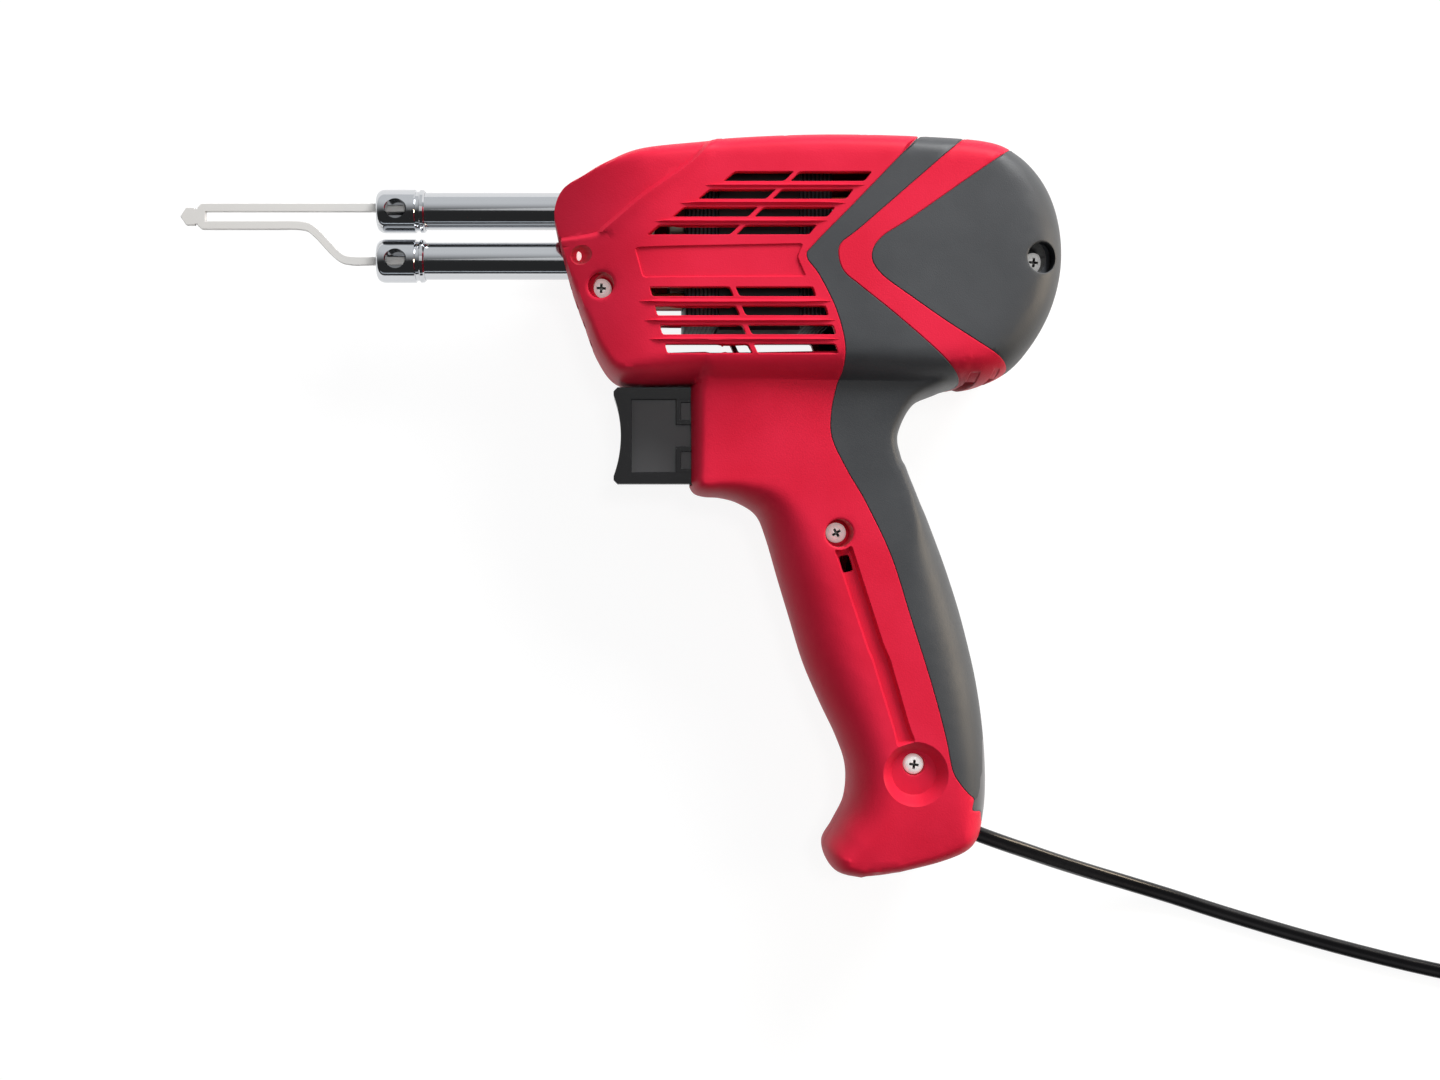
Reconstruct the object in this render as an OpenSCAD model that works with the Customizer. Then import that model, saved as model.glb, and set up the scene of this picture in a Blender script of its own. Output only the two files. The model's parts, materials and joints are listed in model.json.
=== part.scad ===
/* [Housing] */
// Width of the head over both side panels
head_width = 50; // [48:1:54]
// Width of the grip over both sides
grip_width = 34; // [31:1:36]
// Thickness of the moulded walls
wall = 2.6; // [2.2:0.2:3]
// Thickness of the soft black second shot
overmould = 1.4; // [1:0.1:1.6]
// How far the nose narrows on each side
nose_drop = 12; // [10:0.5:13]
// Step between the nose hood and the side panel
hood_step = 1.2; // [0.6:0.1:1.6]
// How far the vent ribs stand proud of the panel
rib_proud = 0.4; // [0.2:0.1:0.6]

/* [Vents] */
// Height of one vent slot
slot_height = 2.6; // [2:0.1:3]
// Distance from one upper slot to the next
upper_pitch = 4.3; // [4:0.1:4.4]
// Distance from one lower slot to the next
lower_pitch = 4.6; // [4.4:0.1:4.8]
// Width of the bar that divides each slot
slot_bar = 1; // [0.8:0.1:1.4]
// Depth of the bare label panel
label_depth = 0.5; // [0.3:0.1:0.8]

/* [Tubes and nuts] */
// Outside diameter of the plated tubes
tube_d = 9.525; // [9:0.125:9.75]
// Bore of the plated tubes
tube_bore = 6.4; // [5:0.2:7]
// Distance between the two tube axes
tube_spacing = 12.7; // [12.5:0.1:13.2]
// Outside diameter of the tip nuts
nut_d = 11.1; // [10.8:0.1:11.6]
// Length of the tip nuts
nut_length = 12.3; // [12:0.1:13]
// Diameter of the hole across each tip nut
nut_hole_d = 5; // [4:0.2:5.4]

/* [Tip] */
// Distance from the tube fronts to the point of the tip
tip_reach = 59.3; // [56:0.5:64]
// Width of each leg of the tip
tip_leg = 2.1; // [1.8:0.1:2.3]
// Thickness of the tip strip
tip_thick = 1.6; // [1.2:0.1:1.8]

/* [Trigger and switch] */
// Width of the trigger
trigger_width = 17; // [15:0.5:18]
// Height of the trigger
trigger_height = 24.3; // [22:0.1:24.4]
// Travel of the trigger
trigger_travel = 6; // [4:0.5:6.5]
// Length of the switch body
switch_length = 19; // [16:1:22]
// Height of the switch body
switch_height = 18; // [14:1:20]
// Width of the switch body
switch_width = 16; // [12:1:18]
// Wire diameter of the trigger spring
spring_wire = 0.8; // [0.6:0.1:0.9]

/* [Transformer] */
// Height of the core across its three limbs
core_height = 40.5; // [38:0.5:40.5]
// Thickness of the stack of laminations
core_stack = 36; // [32:1:38]
// Thickness of the copper strap
strap_thick = 2; // [1.4:0.1:2.2]
// Width of the copper strap
strap_width = 18; // [14:1:20]

/* [Screws] */
// Head diameter of the case screws
screw_head_d = 5; // [4.6:0.2:5.6]
// Thread diameter of the case screws
screw_d = 2.9; // [2.6:0.1:3.2]
// Diameter of the recess round each screw head
recess_d = 6.4; // [6:0.2:7]

/* [Cord and plug] */
// Width of the flat twin cord
cord_width = 4; // [3.6:0.1:4.2]
// Thickness of the flat twin cord
cord_thick = 2.2; // [2:0.1:2.4]
// Radius of the coil's outermost loop
coil_radius = 30; // [29:0.5:32]
// Length of the plug body
plug_length = 24; // [22:1:30]

/* [Hidden] */

$fn = 32;

red = "crimson";
black = "#333538";
steel = "silver";
copper = "#b87333";

// The part lies on its right side, so the parting plane is half the width up
panel_half = head_width / 2;
parting = panel_half + rib_proud;
grip_half = grip_width / 2;
seat_gap = 0.1;
run_gap = 0.05;
clear_gap = 0.3;

// Core: front face, bottom face
core_x = 17.3;
core_y = 45;
// The head's top lies this far over the core, and its upper side stretches with it
head_margin = 7.4;
head_top = core_y + core_height + head_margin;
head_pivot = 69.5;

// Head outline, counter-clockwise from the top of the rear end: x, y, edge radius
HEAD_LINE = [
    [92, 91.2, 9], [76, 92.5, 8], [54, 92.9, 7], [35, 92.4, 7], [20, 91.3, 7], [6, 89.7, 7],
    [-2.5, 86.4, 7], [-8.5, 82.8, 6], [-13.2, 79.8, 5], [-15.4, 75, 5], [-14.9, 69.5, 6],
    [-13.2, 63, 7], [-11, 55, 9], [-8, 46.7, 9], [-5, 38.8, 8], [-0.6, 32.8, 7], [6, 31.1, 8],
    [20, 31.2, 10], [40, 31.3, 11], [60, 31.2, 11], [80, 30.8, 11], [90, 30.6, 12],
    [97.8, 33.8, 13], [103.6, 40, 14], [108.2, 48, 15], [110.8, 57, 15], [111.2, 66, 15],
    [109.3, 75, 14], [105.5, 82.3, 13], [99.8, 87.8, 11]
];
head_stretch = (head_top - head_pivot) / (max([for (p = HEAD_LINE) p[1]]) - head_pivot);
HEAD = [
    for (p = HEAD_LINE)
        [p[0], p[1] > head_pivot ? head_pivot + (p[1] - head_pivot) * head_stretch : p[1], p[2]]
];
// Grip stations from inside the head down to the foot: front x, y, rear x, y, edge radius, extra half width
GRIP = [
    [34, 40.4, 86, 37.6, 9, 4.8], [27.2, 34.2, 80.4, 29.8, 8, 3.2], [24.5, 25, 73.2, 24.7, 5, 1.6],
    [23.4, 16, 70.8, 17.8, 5, 0.4], [23, 8.2, 72.6, 11.5, 5, 0.1], [26.5, 3.3, 75.6, 5, 4.4, 0],
    [32, 1.2, 78.6, -2, 6, -0.1], [35.9, -1.7, 81.1, -8, 9, 0], [38.4, -7.5, 83.9, -15.5, 11, 0.1],
    [41.3, -17.5, 87, -25, 12.5, 0], [44.6, -28.5, 89.4, -34, 13, -0.1], [47.9, -39.3, 91.3, -42.5, 13, -0.1],
    [52.2, -49.4, 92.7, -51.5, 12.5, 0], [56.4, -58.3, 93.5, -60.5, 11, 0.1], [58.9, -66, 93.7, -69, 10, 0.3],
    [58.6, -74, 93.1, -76, 9, 0.5], [55.8, -80.4, 91.5, -82.4, 7, 0.4], [53, -86, 88, -86.2, 5.5, 0.1],
    [55.2, -91.2, 81, -89, 4.6, -0.5], [61.4, -92.9, 71, -91.5, 4.2, -1]
];
// Boxiness of the rounded edges: 2 is an ellipse
head_power = 3;
grip_power = 2.2;
edge_rings = 5;
inner_rings = 3;

// Neck that holds the trigger
neck_front = 18.6;
neck_bottom = 3.1;
neck_edge = 3.2;
neck_back = 44;
neck_top = 37;
// The neck's sides lie a little under the grip's
neck_step = 0.4;
head_bottom = HEAD[17][1];

// The nose narrows in front of this place, over this length
nose_start = 15;
nose_length = 30;
// Line where the hood steps down from the side panel, from front to top
HOOD = [[-40, 66.2], [-6.3, 66.2], [7, 75.6], [20, 85], [28, 110], [-40, 110]];

// Front edge of the black band, from the top of the head down to the foot
BAND_FRONT = [
    [86, 104], [76.8, 93.4], [59, 75.2], [48.4, 64.4], [46.2, 61], [49.2, 56.6], [53.2, 48.6],
    [55.4, 40.5], [55.4, 34], [54.2, 30], [53, 24], [53.2, 17.5], [57, 9.5], [61.5, 1.8], [67.8, -11.5],
    [72.4, -26], [77.8, -43.2], [81.2, -56], [82.6, -64], [88, -71], [92, -79.5], [96, -90]
];
// Front and rear edge of the red chevron
CHEVRON_FRONT = [
    [97, 101], [86.9, 92], [72.5, 79.5], [59, 67.8], [54.6, 64.3], [53.9, 61.2], [55.2, 57.4], [59, 54.1],
    [67.1, 47.6], [75.8, 40.1], [81.5, 34.8], [86.5, 29.5], [90, 24]
];
CHEVRON_REAR = [
    [109, 97], [96.2, 87.6], [85.3, 80], [71.4, 70.3], [64.2, 65.6], [61.9, 61.2], [64.2, 56.8],
    [71.4, 51.4], [80, 45.4], [88.4, 40], [94, 36.4], [98, 32.5], [104, 26]
];
rear_limit = 125;
foot_limit = -100;

// Vent rows: the first upper row and the first lower row, both at their slot's bottom left corner
upper_first = [7.3, 66.1];
upper_lean = [6.13, 4.45];
upper_end = 46.9;
lower_first = [8, 53.8];
lower_lean = 1.25;
lower_end = 53.3;
upper_slant = [3.1, 2];
bar_start = [28.3, 28.2];
bar_lean = [2.6, 1.2];
bar_step = [4.35, 1.5];
vent_rows = 4;
LABEL = [[4.6, 63.4], [6.6, 55.9], [46.2, 56.1], [44, 61], [45.6, 64.2]];
nose_vents = 4;
nose_vent_first = 40.97;
nose_vent_pitch = 4.8;
nose_vent_half = 9;

// Screw places: x, y, height of the head's seat above the parting plane, diameter of the recess
SCREWS = [
    [-3.5, 54.7, 12, recess_d], [103.3, 60.9, 13, recess_d + 1.2], [55.1, -5.9, 9, recess_d + 0.6],
    [73.9, -63.2, 12.2, screw_head_d + 2 * clear_gap]
];
boss_wall = 3.8;
screw_bite = 9;
screw_head_h = 2;
cross_w = 0.8;
cross_l = 2.8;
dish = [73.9, -65.2];
dish_r = [5.5, 7.6];
dish_depth = 3.2;
dish_back = 1.8;
// Edges of the long groove in the grip
GROOVE = [
    [53.7, -10], [58.1, -8.6], [66, -33.1], [67.7, -37], [72.6, -54], [73.9, -57.2],
    [69.3, -58.6], [68.4, -54.7], [63, -37], [62, -34.8]
];
groove_depth = 1.2;
PEEP_HOLE = [[55, -11.6], [57.6, -11.2], [58.8, -15.2], [56.2, -15.8]];

// Tubes, nuts and tip
tube_y = 76.2;
TUBES = [tube_y, tube_y - tube_spacing];
tube_front = -52;
tube_back = 8;
tube_plug = 6;
nut_reach = 8.9;
nut_front = tube_front - nut_reach;
nut_wall = tube_front - nut_front - clear_gap;
nut_dome = 2;
leg_hole_d = 4.8;
tip_end = tube_front - tip_reach;
tip_head = 3.7;
tip_neck = 0.7;
tip_slot = 2.4;
tip_rise = 0.9;
tip_embed = 4;
spacer_x = 1.5;
spacer_thick = 5;
spacer_margin = 3.2;

// Lamps: place of the base, lean outwards from the nose
lamp_base = [-6.6, 62.7, 12.4];
lamp_lean = 22;
lamp_d = 3;
lamp_length = 4.6;

// The core's limb is a third of its height
limb = core_height / 3;
core_half = limb * 1.25;
window_half = limb * 0.75;
limb_y = core_y + limb;
bobbin_wall = 0.8;
bobbin_flange = 1;
strap_gap = 0.4;
winding_gap = 0.45;
winding = limb / 2 - seat_gap - bobbin_wall - strap_thick - strap_gap - winding_gap;
strap_front = tube_back;
strap_back = core_x + core_stack + 8;
strap_low = core_y + limb / 2 + strap_gap;
strap_high = core_y + core_height - limb / 2 - strap_gap - strap_thick;
bracket = 1;
bracket_x = core_x + 8;
bracket_length = core_stack - 16;

// Trigger, spring and switch
trigger_top = head_bottom - 2 * clear_gap;
trigger_bottom = trigger_top - trigger_height;
trigger_front = -0.5;
trigger_hollow = 1.8;
trigger_back = neck_front + wall + clear_gap + 3;
trigger_flange = 3;
trigger_lip = 2;
trigger_pocket = 3.5;
pad_front = 15.2;
pad_rim = 1.2;
pad_proud = 1.1;
trigger_middle = (trigger_top + trigger_bottom) / 2;
spring_length = 11;
spring_turns = 5;
spring_r = 4;
switch_front = trigger_back + spring_length;
plunger_d = 5;
plunger_depth = 4;
plunger_front = trigger_back - trigger_pocket + clear_gap;
switch_y = trigger_middle - switch_height / 2;
TERMINALS = [5, -5];
terminal_size = [7, 4.8, 0.8];
terminal_rise = 5;
terminal_end = switch_front + switch_length + terminal_size[0] + 0.9;
lead_d = 1.9;
primary_lead_d = 1.6;
lamp_lead_d = 1.1;
connector_d = 6;
connector_place = [60, -18];
connector_turn = -72;

clamp_size = [8, 9, 12];
clamp_x = 76;
clamp_y = -75.6;
cord_slope = -25;

// Cord: hand-chosen route of the free stretch, from the foot to the coil
exit_point = [91.4, -82.6];
ROUTE = [
    [78, -76.5, 0], [85, -79.8, 0], [91.4, -82.6, 0], [98.5, -85.4, -1.5], [106, -88.4, -5],
    [115.5, -92.3, -10.5],
    [126, -96.4, -16.5], [137, -100.3, -21], [150, -104.6, -23.6], [164, -109.2, -24.2],
    [182, -114.6, -24.2], [201, -119.8, -24.2], [221, -124.6, -24.2], [240, -128.2, -24.2],
    [258, -130.4, -24.2]
];
cord_sides = 8;
floor_gap = 0.05;
coil_sides = 6;
coil_steps = 24;
coil_layers = 4;
layer_loops = 3;
loop_gap = 0.6;
climb_share = 0.25;
loop_pitch = cord_width + loop_gap;
layer_pitch = cord_thick + loop_gap;
coil_start = [262, -130.4];
coil_centre = [coil_start[0], coil_start[1] + coil_radius];
coil_turns = coil_layers * layer_loops;
coil_lead = cord_width;
tie_gap = 0.4;
plug_size = [16, 12];
blade = [1.5, 6.4, 16];
blade_spacing = 12.7;
cord_z = cord_thick / 2 + floor_gap;
tail_start = [coil_start[0] + coil_lead, coil_start[1]];
plug_x = tail_start[0] + 44;
plug_y = tail_start[1] - 8;
coil_top = cord_z + (coil_layers - 1) * layer_pitch;
coil_path = concat(
    [[coil_start[0] - coil_lead, coil_start[1], cord_z]],
    [for (i = [0 : coil_turns * coil_steps]) coil_spot(i / coil_steps)],
    [[coil_start[0] + coil_lead, coil_start[1], coil_top]]
);
// Least gap between two loops of the coil
coil_gap = min([
    for (i = [0 : len(coil_path) - 1])
        for (j = [i + coil_steps / 4 : 1 : len(coil_path) - 1]) coil_distance(i, j)
]);

// Curves

function wrapped(v, i) = v[(i + len(v)) % len(v)];
function clamped(v, i) = v[min(max(i, 0), len(v) - 1)];
function spline(a, b, c, d, t) =
    0.5 * (2 * b + (c - a) * t + (2 * a - 5 * b + 4 * c - d) * t * t + (3 * b - a - 3 * c + d) * t * t * t);
function loop_through(keys, steps) = [
    for (i = [0 : len(keys) - 1]) for (j = [0 : steps - 1])
        spline(wrapped(keys, i - 1), keys[i], wrapped(keys, i + 1), wrapped(keys, i + 2), j / steps)
];
function line_through(keys, steps) = [
    for (i = [0 : len(keys) - 2]) for (j = [0 : steps - 1])
        spline(clamped(keys, i - 1), keys[i], keys[i + 1], clamped(keys, i + 2), j / steps),
    keys[len(keys) - 1]
];
function reversed(v) = [for (i = [len(v) - 1 : -1 : 0]) v[i]];
function flat(v) = [v[0], v[1]];
function unit(v) = v / norm(v);
function left_of(v) = unit([-v[1], v[0]]);

// Faces of a tube of rings, all with the same number of points, closed at both ends
function ring_faces(rings, count) = concat(
    [[for (i = [0 : count - 1]) i]],
    [for (r = [0 : rings - 2]) for (i = [0 : count - 1])
        let (a = r * count + i, b = r * count + (i + 1) % count) [a, a + count, b + count]],
    [for (r = [0 : rings - 2]) for (i = [0 : count - 1])
        let (a = r * count + i, b = r * count + (i + 1) % count) [a, b + count, b]],
    [[for (i = [count - 1 : -1 : 0]) (rings - 1) * count + i]]
);

// Levels of a rounded edge: share of the edge radius used up, share of the height reached
function edge_levels(rings, power) = [
    for (r = [0 : rings]) let (angle = 90 * r / rings)
        [1 - pow(max(cos(angle), 0), 2 / power), pow(sin(angle), 2 / power)]
];
// Points of rings that close in on an outline whose points hold x, y, edge radius, half width
function edge_points(outline, inward, levels, shrink) = [
    for (level = levels) for (i = [0 : len(outline) - 1])
        let (inset = shrink + (outline[i][2] - shrink) * level[0])
        concat(flat(outline[i]) + inward[i] * inset, (outline[i][3] - shrink) * level[1])
];
// The first ring is moved down below the parting plane
function sunk_first(points, count, below) = [
    for (i = [0 : len(points) - 1]) i < count ? [points[i][0], points[i][1], -below] : points[i]
];

// Rounded pillow with a flat crown, over a closed outline
module pillow(keys, half, steps, rings, power, shrink, below) {
    outline = [for (p = loop_through(keys, steps)) concat(p, half)];
    inward = [
        for (i = [0 : len(outline) - 1]) left_of(flat(wrapped(outline, i + 1) - wrapped(outline, i - 1)))
    ];
    levels = concat([[0, 0]], edge_levels(rings, power));
    polyhedron(
        sunk_first(edge_points(outline, inward, levels, shrink), len(outline), below),
        ring_faces(rings + 2, len(outline))
    );
}

// Rounded body over stations, whose crown runs straight from the front to the rear of each
module station_body(stations, half, steps, rings, power, shrink, below) {
    line = line_through(stations, steps);
    front = [for (s = line) [s[0], s[1], s[4], half + s[5]]];
    rear = [for (s = reversed(line)) [s[2], s[3], s[4], half + s[5]]];
    inward = [
        for (side = [front, rear]) for (i = [0 : len(line) - 1])
            left_of(flat(clamped(side, i + 1) - clamped(side, i - 1)))
    ];
    count = 2 * len(line);
    levels = concat([[0, 0]], edge_levels(rings, power));
    points = sunk_first(edge_points(concat(front, rear), inward, levels, shrink), count, below);
    top = (len(levels) - 1) * count;
    sides = ring_faces(len(levels), count);
    polyhedron(points, concat(
        [for (i = [0 : len(sides) - 2]) sides[i]],
        [for (i = [0 : count / 2 - 2]) [top + i + 1, top + i, top + count - 1 - i]],
        [for (i = [0 : count / 2 - 2]) [top + i + 1, top + count - 1 - i, top + count - 2 - i]]
    ));
}

// Tube of flat or round section swept along points, with its width kept level
module swept(points, width, thick, sides) {
    last = len(points) - 1;
    rings = [
        for (i = [0 : last])
            let (along = unit(clamped(points, i + 1) - clamped(points, i - 1)))
            let (side = unit(cross([0, 0, 1], along)), up = cross(along, side))
            for (s = [0 : sides - 1]) let (angle = 360 * (s + 0.5) / sides)
                points[i] + side * cos(angle) * width / 2 + up * sin(angle) * thick / 2
    ];
    polyhedron(rings, ring_faces(last + 1, sides));
}

// Round wire along points in any direction but straight along the reference
module wire(points, diameter, sides, reference) {
    last = len(points) - 1;
    rings = [
        for (i = [0 : last])
            let (along = unit(clamped(points, i + 1) - clamped(points, i - 1)))
            let (side = unit(cross(reference, along)), up = cross(along, side))
            for (s = [0 : sides - 1]) let (angle = 360 * s / sides)
                points[i] + (side * cos(angle) + up * sin(angle)) * diameter / 2
    ];
    polyhedron(rings, ring_faces(last + 1, sides));
}

// Strip of even width along a line of points in the plane
function ribbon(points, width) = concat(
    [for (i = [0 : len(points) - 1])
        points[i] + left_of(clamped(points, i + 1) - clamped(points, i - 1)) * width / 2],
    [for (i = [len(points) - 1 : -1 : 0])
        points[i] - left_of(clamped(points, i + 1) - clamped(points, i - 1)) * width / 2]
);

// Half of the housing is drawn upwards from the parting plane
module left_side() {
    translate([0, 0, parting])
        children();
}
module right_side() {
    translate([0, 0, parting])
        mirror([0, 0, 1])
            children();
}

// Housing skins

// Half width that the nose leaves at x, just clear of the flat side panel behind it
function nose_width(x, shrink) =
    panel_half - shrink + 0.3
        - (x < nose_start ? (nose_drop + 0.3) * pow((nose_start - x) / nose_length, 2) : 0);

module plan_limit(shrink) {
    steps = 12;
    front = nose_start - nose_length - 6;
    profile = concat(
        [for (i = [0 : steps]) let (x = front + (nose_start - front) * i / steps) [x, nose_width(x, shrink)]],
        [[rear_limit, nose_width(rear_limit, shrink)], [rear_limit, -5], [front, -5]]
    );
    translate([0, 110, 0])
        rotate([90, 0, 0])
            linear_extrude(height = 90)
                polygon(profile);
}

module neck(shrink, below) {
    edge = neck_edge - shrink / 2;
    low = [neck_front + shrink + edge, neck_bottom + shrink + edge];
    crown = grip_half - neck_step - shrink - edge;
    hull()
        for (x = [low[0], neck_back]) {
            hull()
                for (y = [low[1], neck_top])
                    translate([x, y, crown])
                        sphere(r = edge, $fn = 16);
            hull()
                for (y = [low[1], neck_top])
                    translate([x, y, -below])
                        cylinder(r = edge, h = 1, $fn = 16);
        }
}

module skin(shrink, below, fine) {
    intersection() {
        pillow(HEAD, panel_half, fine ? 2 : 1, fine ? edge_rings : inner_rings, head_power, shrink, below);
        plan_limit(shrink);
    }
    station_body(GRIP, grip_half, fine ? 2 : 1, fine ? edge_rings : inner_rings, grip_power, shrink, below);
    neck(shrink, below);
}

module hood_cut() {
    difference() {
        translate([0, 0, 5])
            linear_extrude(height = 40)
                polygon(HOOD);
        plan_limit(hood_step);
    }
}

module outer_shape() {
    difference() {
        skin(0, 1, true);
        hood_cut();
        translate([-50, -120, -10])
            cube([200, 240, 10]);
    }
}

// Regions of the soft second shot, seen from the side
module band_region() {
    polygon(concat(
        BAND_FRONT,
        [[rear_limit, foot_limit], [rear_limit, 26]],
        reversed(CHEVRON_FRONT)
    ));
}
module cap_region() {
    polygon(concat([[rear_limit, 26], [rear_limit, 104]], CHEVRON_REAR));
}

// Room that the second shot is moulded in, open to the outside
module second_shot_space() {
    difference() {
        translate([0, 0, -0.5])
            linear_extrude(height = 40) {
                band_region();
                cap_region();
            }
        skin(overmould, 1, false);
    }
}
module second_shot() {
    intersection() {
        outer_shape();
        second_shot_space();
    }
}

// Slots through the side panel
module slot_shape(points, bar_bottom, bar_top) {
    difference() {
        polygon(points);
        polygon([
            [bar_bottom[0] - slot_bar / 2, bar_bottom[1]], [bar_bottom[0] + slot_bar / 2, bar_bottom[1]],
            [bar_top[0] + slot_bar / 2, bar_top[1]], [bar_top[0] - slot_bar / 2, bar_top[1]]
        ]);
    }
}
module upper_slot(i) {
    low = upper_first[1] + i * upper_pitch;
    high = low + slot_height;
    left = upper_first[0] + i * upper_lean[0];
    right = upper_end + i * upper_lean[1];
    bar = bar_start[0] + i * bar_step[0];
    slot_shape(
        [[left, low], [right, low], [right + upper_slant[1], high], [left + upper_slant[0], high]],
        [bar, low], [bar + bar_lean[0], high]
    );
}
module lower_slot(i) {
    high = lower_first[1] - i * lower_pitch;
    low = high - slot_height;
    left = lower_first[0] + i * lower_lean;
    right = lower_end - 0.6 * pow(vent_rows - 1 - i, 2);
    bar = bar_start[1] + i * bar_step[1];
    slot_shape(
        [[left + 0.8, low], [right + 0.8, low], [right, high], [left, high]],
        [bar + bar_lean[1], low], [bar, high]
    );
}
module vents() {
    translate([0, 0, panel_half - wall - 1.5])
        linear_extrude(height = wall + 4)
            for (i = [0 : vent_rows - 1]) {
                upper_slot(i);
                lower_slot(i);
            }
}

// Pointed rib between two slots
module rib(from, to) {
    middle = (from + to) / 2;
    hull() {
        for (part = [[0, 0.9], [1, 0.45]])
            translate([0, 0, panel_half - 1.2 + part[0] * (1.2 + rib_proud - 0.01)])
                linear_extrude(height = 0.01)
                    polygon([
                        from, middle + [-12, -part[1]], middle + [12, -part[1]],
                        to, middle + [12, part[1]], middle + [-12, part[1]]
                    ]);
    }
}
module ribs() {
    for (i = [0 : vent_rows - 2]) {
        upper_y = upper_first[1] + slot_height + (upper_pitch - slot_height) / 2 + i * upper_pitch;
        rib(
            [upper_first[0] + 2 + i * upper_lean[0], upper_y],
            [upper_end + 4.5 + i * upper_lean[1], upper_y]
        );
        lower_y = lower_first[1] - slot_height - (lower_pitch - slot_height) / 2 - i * lower_pitch;
        rib([lower_first[0] - 2.4 + i * lower_lean, lower_y], [lower_end - 0.8 + i * 0.8, lower_y]);
    }
}

module label_panel() {
    translate([0, 0, panel_half - label_depth])
        linear_extrude(height = 5)
            polygon(LABEL);
}

module nose_slots() {
    for (i = [0 : nose_vents - 1])
        translate([-14, nose_vent_first + i * nose_vent_pitch, -1])
            cube([16, 1.6, nose_vent_half + 1]);
}

// Holes where the tubes leave the nose
module tube_holes() {
    for (y = TUBES)
        translate([-22, y, 0])
            rotate([0, 90, 0])
                cylinder(d = tube_d + 2 * clear_gap, h = 23.3);
}

// Things along a lamp's axis
module along_lamp() {
    translate(lamp_base)
        rotate([0, -90 + lamp_lean, 0])
            children();
}
module lamp_boss() {
    intersection() {
        along_lamp()
            translate([0, 0, 0.6])
                cylinder(r = 4.4, h = 8, $fn = 16);
        outer_shape();
    }
}
module lamp_bowl() {
    along_lamp() {
        cylinder(d = lamp_d + 2 * seat_gap, h = 12, $fn = 16);
        translate([0, 0, lamp_length - 1.4])
            cylinder(r1 = lamp_d / 2 + 0.5, r2 = 4.6, h = 5, $fn = 20);
    }
}

// The opening that the trigger slides in
module trigger_opening() {
    translate([neck_front - 8, trigger_bottom - clear_gap, -1])
        cube([8 + wall + 2, trigger_height + 2 * clear_gap, trigger_width / 2 + clear_gap + 1]);
}

module cord_hole() {
    translate([exit_point[0], exit_point[1], 0])
        rotate([0, 0, -24])
            translate([-14, -cord_width / 2 - clear_gap, -1])
                cube([20, cord_width + 2 * clear_gap, cord_thick / 2 + clear_gap + 1]);
}

// Rails and ledges moulded inside each half
module inner_ribs() {
    ledge_inner = core_half - 3;
    translate([core_x + 2, core_y - bracket - seat_gap - 1, ledge_inner])
        cube([core_stack - 4, 1, panel_half - wall / 2 - ledge_inner]);
    for (y = [core_y + core_height / 2 - 3, core_y + core_height / 2 + 2])
        translate([core_x + 2, y, core_half + bracket + seat_gap])
            cube([core_stack - 4, 1.2, panel_half - wall / 2 - core_half - bracket - seat_gap]);
    // Shelves above and below the switch
    for (y = [switch_y - 1.6, switch_y + switch_height + seat_gap])
        translate([switch_front + 2, y, 2])
            cube([switch_length - 4, 1.5, panel_half]);
    // Fork that holds the tube spacer
    for (x = [spacer_x - seat_gap - 1.2, spacer_x + spacer_thick + seat_gap])
        translate([x, tube_y + tube_d / 2 + 0.6, 0])
            cube([1.2, 8, strap_width / 2]);
    // Seat of the cord clamp
    translate([clamp_x - 1, clamp_y - clamp_size[1] / 2 - seat_gap - 1.5, 0])
        cube([clamp_size[0] + 2, 1.5, grip_half - wall / 2]);
}

module bosses(seats) {
    for (s = SCREWS)
        intersection() {
            translate([s[0], s[1], 0])
                cylinder(d = s[3] + boss_wall, h = seats ? 40 : s[2] + 6, $fn = 16);
            outer_shape();
        }
    if (seats)
        intersection() {
            translate([dish[0], dish[1], grip_half - dish_depth - dish_back])
                cylinder(r = dish_r[1] + 2, h = dish_depth + 4, $fn = 24);
            outer_shape();
        }
}

module screw_cuts() {
    for (s = SCREWS) {
        translate([s[0], s[1], -1])
            cylinder(d = screw_d + 0.6, h = s[2] + 2, $fn = 14);
        translate([s[0], s[1], s[2]])
            cylinder(d = s[3], h = 40, $fn = 20);
    }
    translate([dish[0], dish[1], grip_half - dish_depth])
        cylinder(r1 = dish_r[0], r2 = dish_r[1] + 1.5, h = dish_depth + 2, $fn = 24);
}
module pilot_holes() {
    for (s = SCREWS)
        translate([s[0], s[1], -1])
            cylinder(d = screw_d + 2 * run_gap, h = screw_bite + 2, $fn = 16);
}

module grip_groove() {
    translate([0, 0, grip_half - groove_depth])
        linear_extrude(height = 5)
            polygon(GROOVE);
    translate([0, 0, grip_half - wall - 2])
        linear_extrude(height = 8)
            polygon(PEEP_HOLE);
}

// One half of the housing, without its screw details
module shell_half() {
    difference() {
        outer_shape();
        skin(wall, 1, false);
    }
    intersection() {
        inner_ribs();
        skin(wall / 2, 0, false);
    }
    lamp_boss();
    ribs();
}
module shell_openings() {
    vents();
    label_panel();
    nose_slots();
    tube_holes();
    lamp_bowl();
    trigger_opening();
    cord_hole();
    second_shot_space();
}

module left_housing() {
    color(red)
        left_side()
            difference() {
                union() {
                    shell_half();
                    bosses(true);
                }
                shell_openings();
                screw_cuts();
                grip_groove();
            }
}

module right_housing() {
    color(red)
        right_side()
            difference() {
                union() {
                    shell_half();
                    bosses(false);
                }
                shell_openings();
                pilot_holes();
                grip_groove();
            }
}

module left_overmould() {
    color(black)
        left_side()
            difference() {
                second_shot();
                screw_cuts();
                cord_hole();
            }
}

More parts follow.
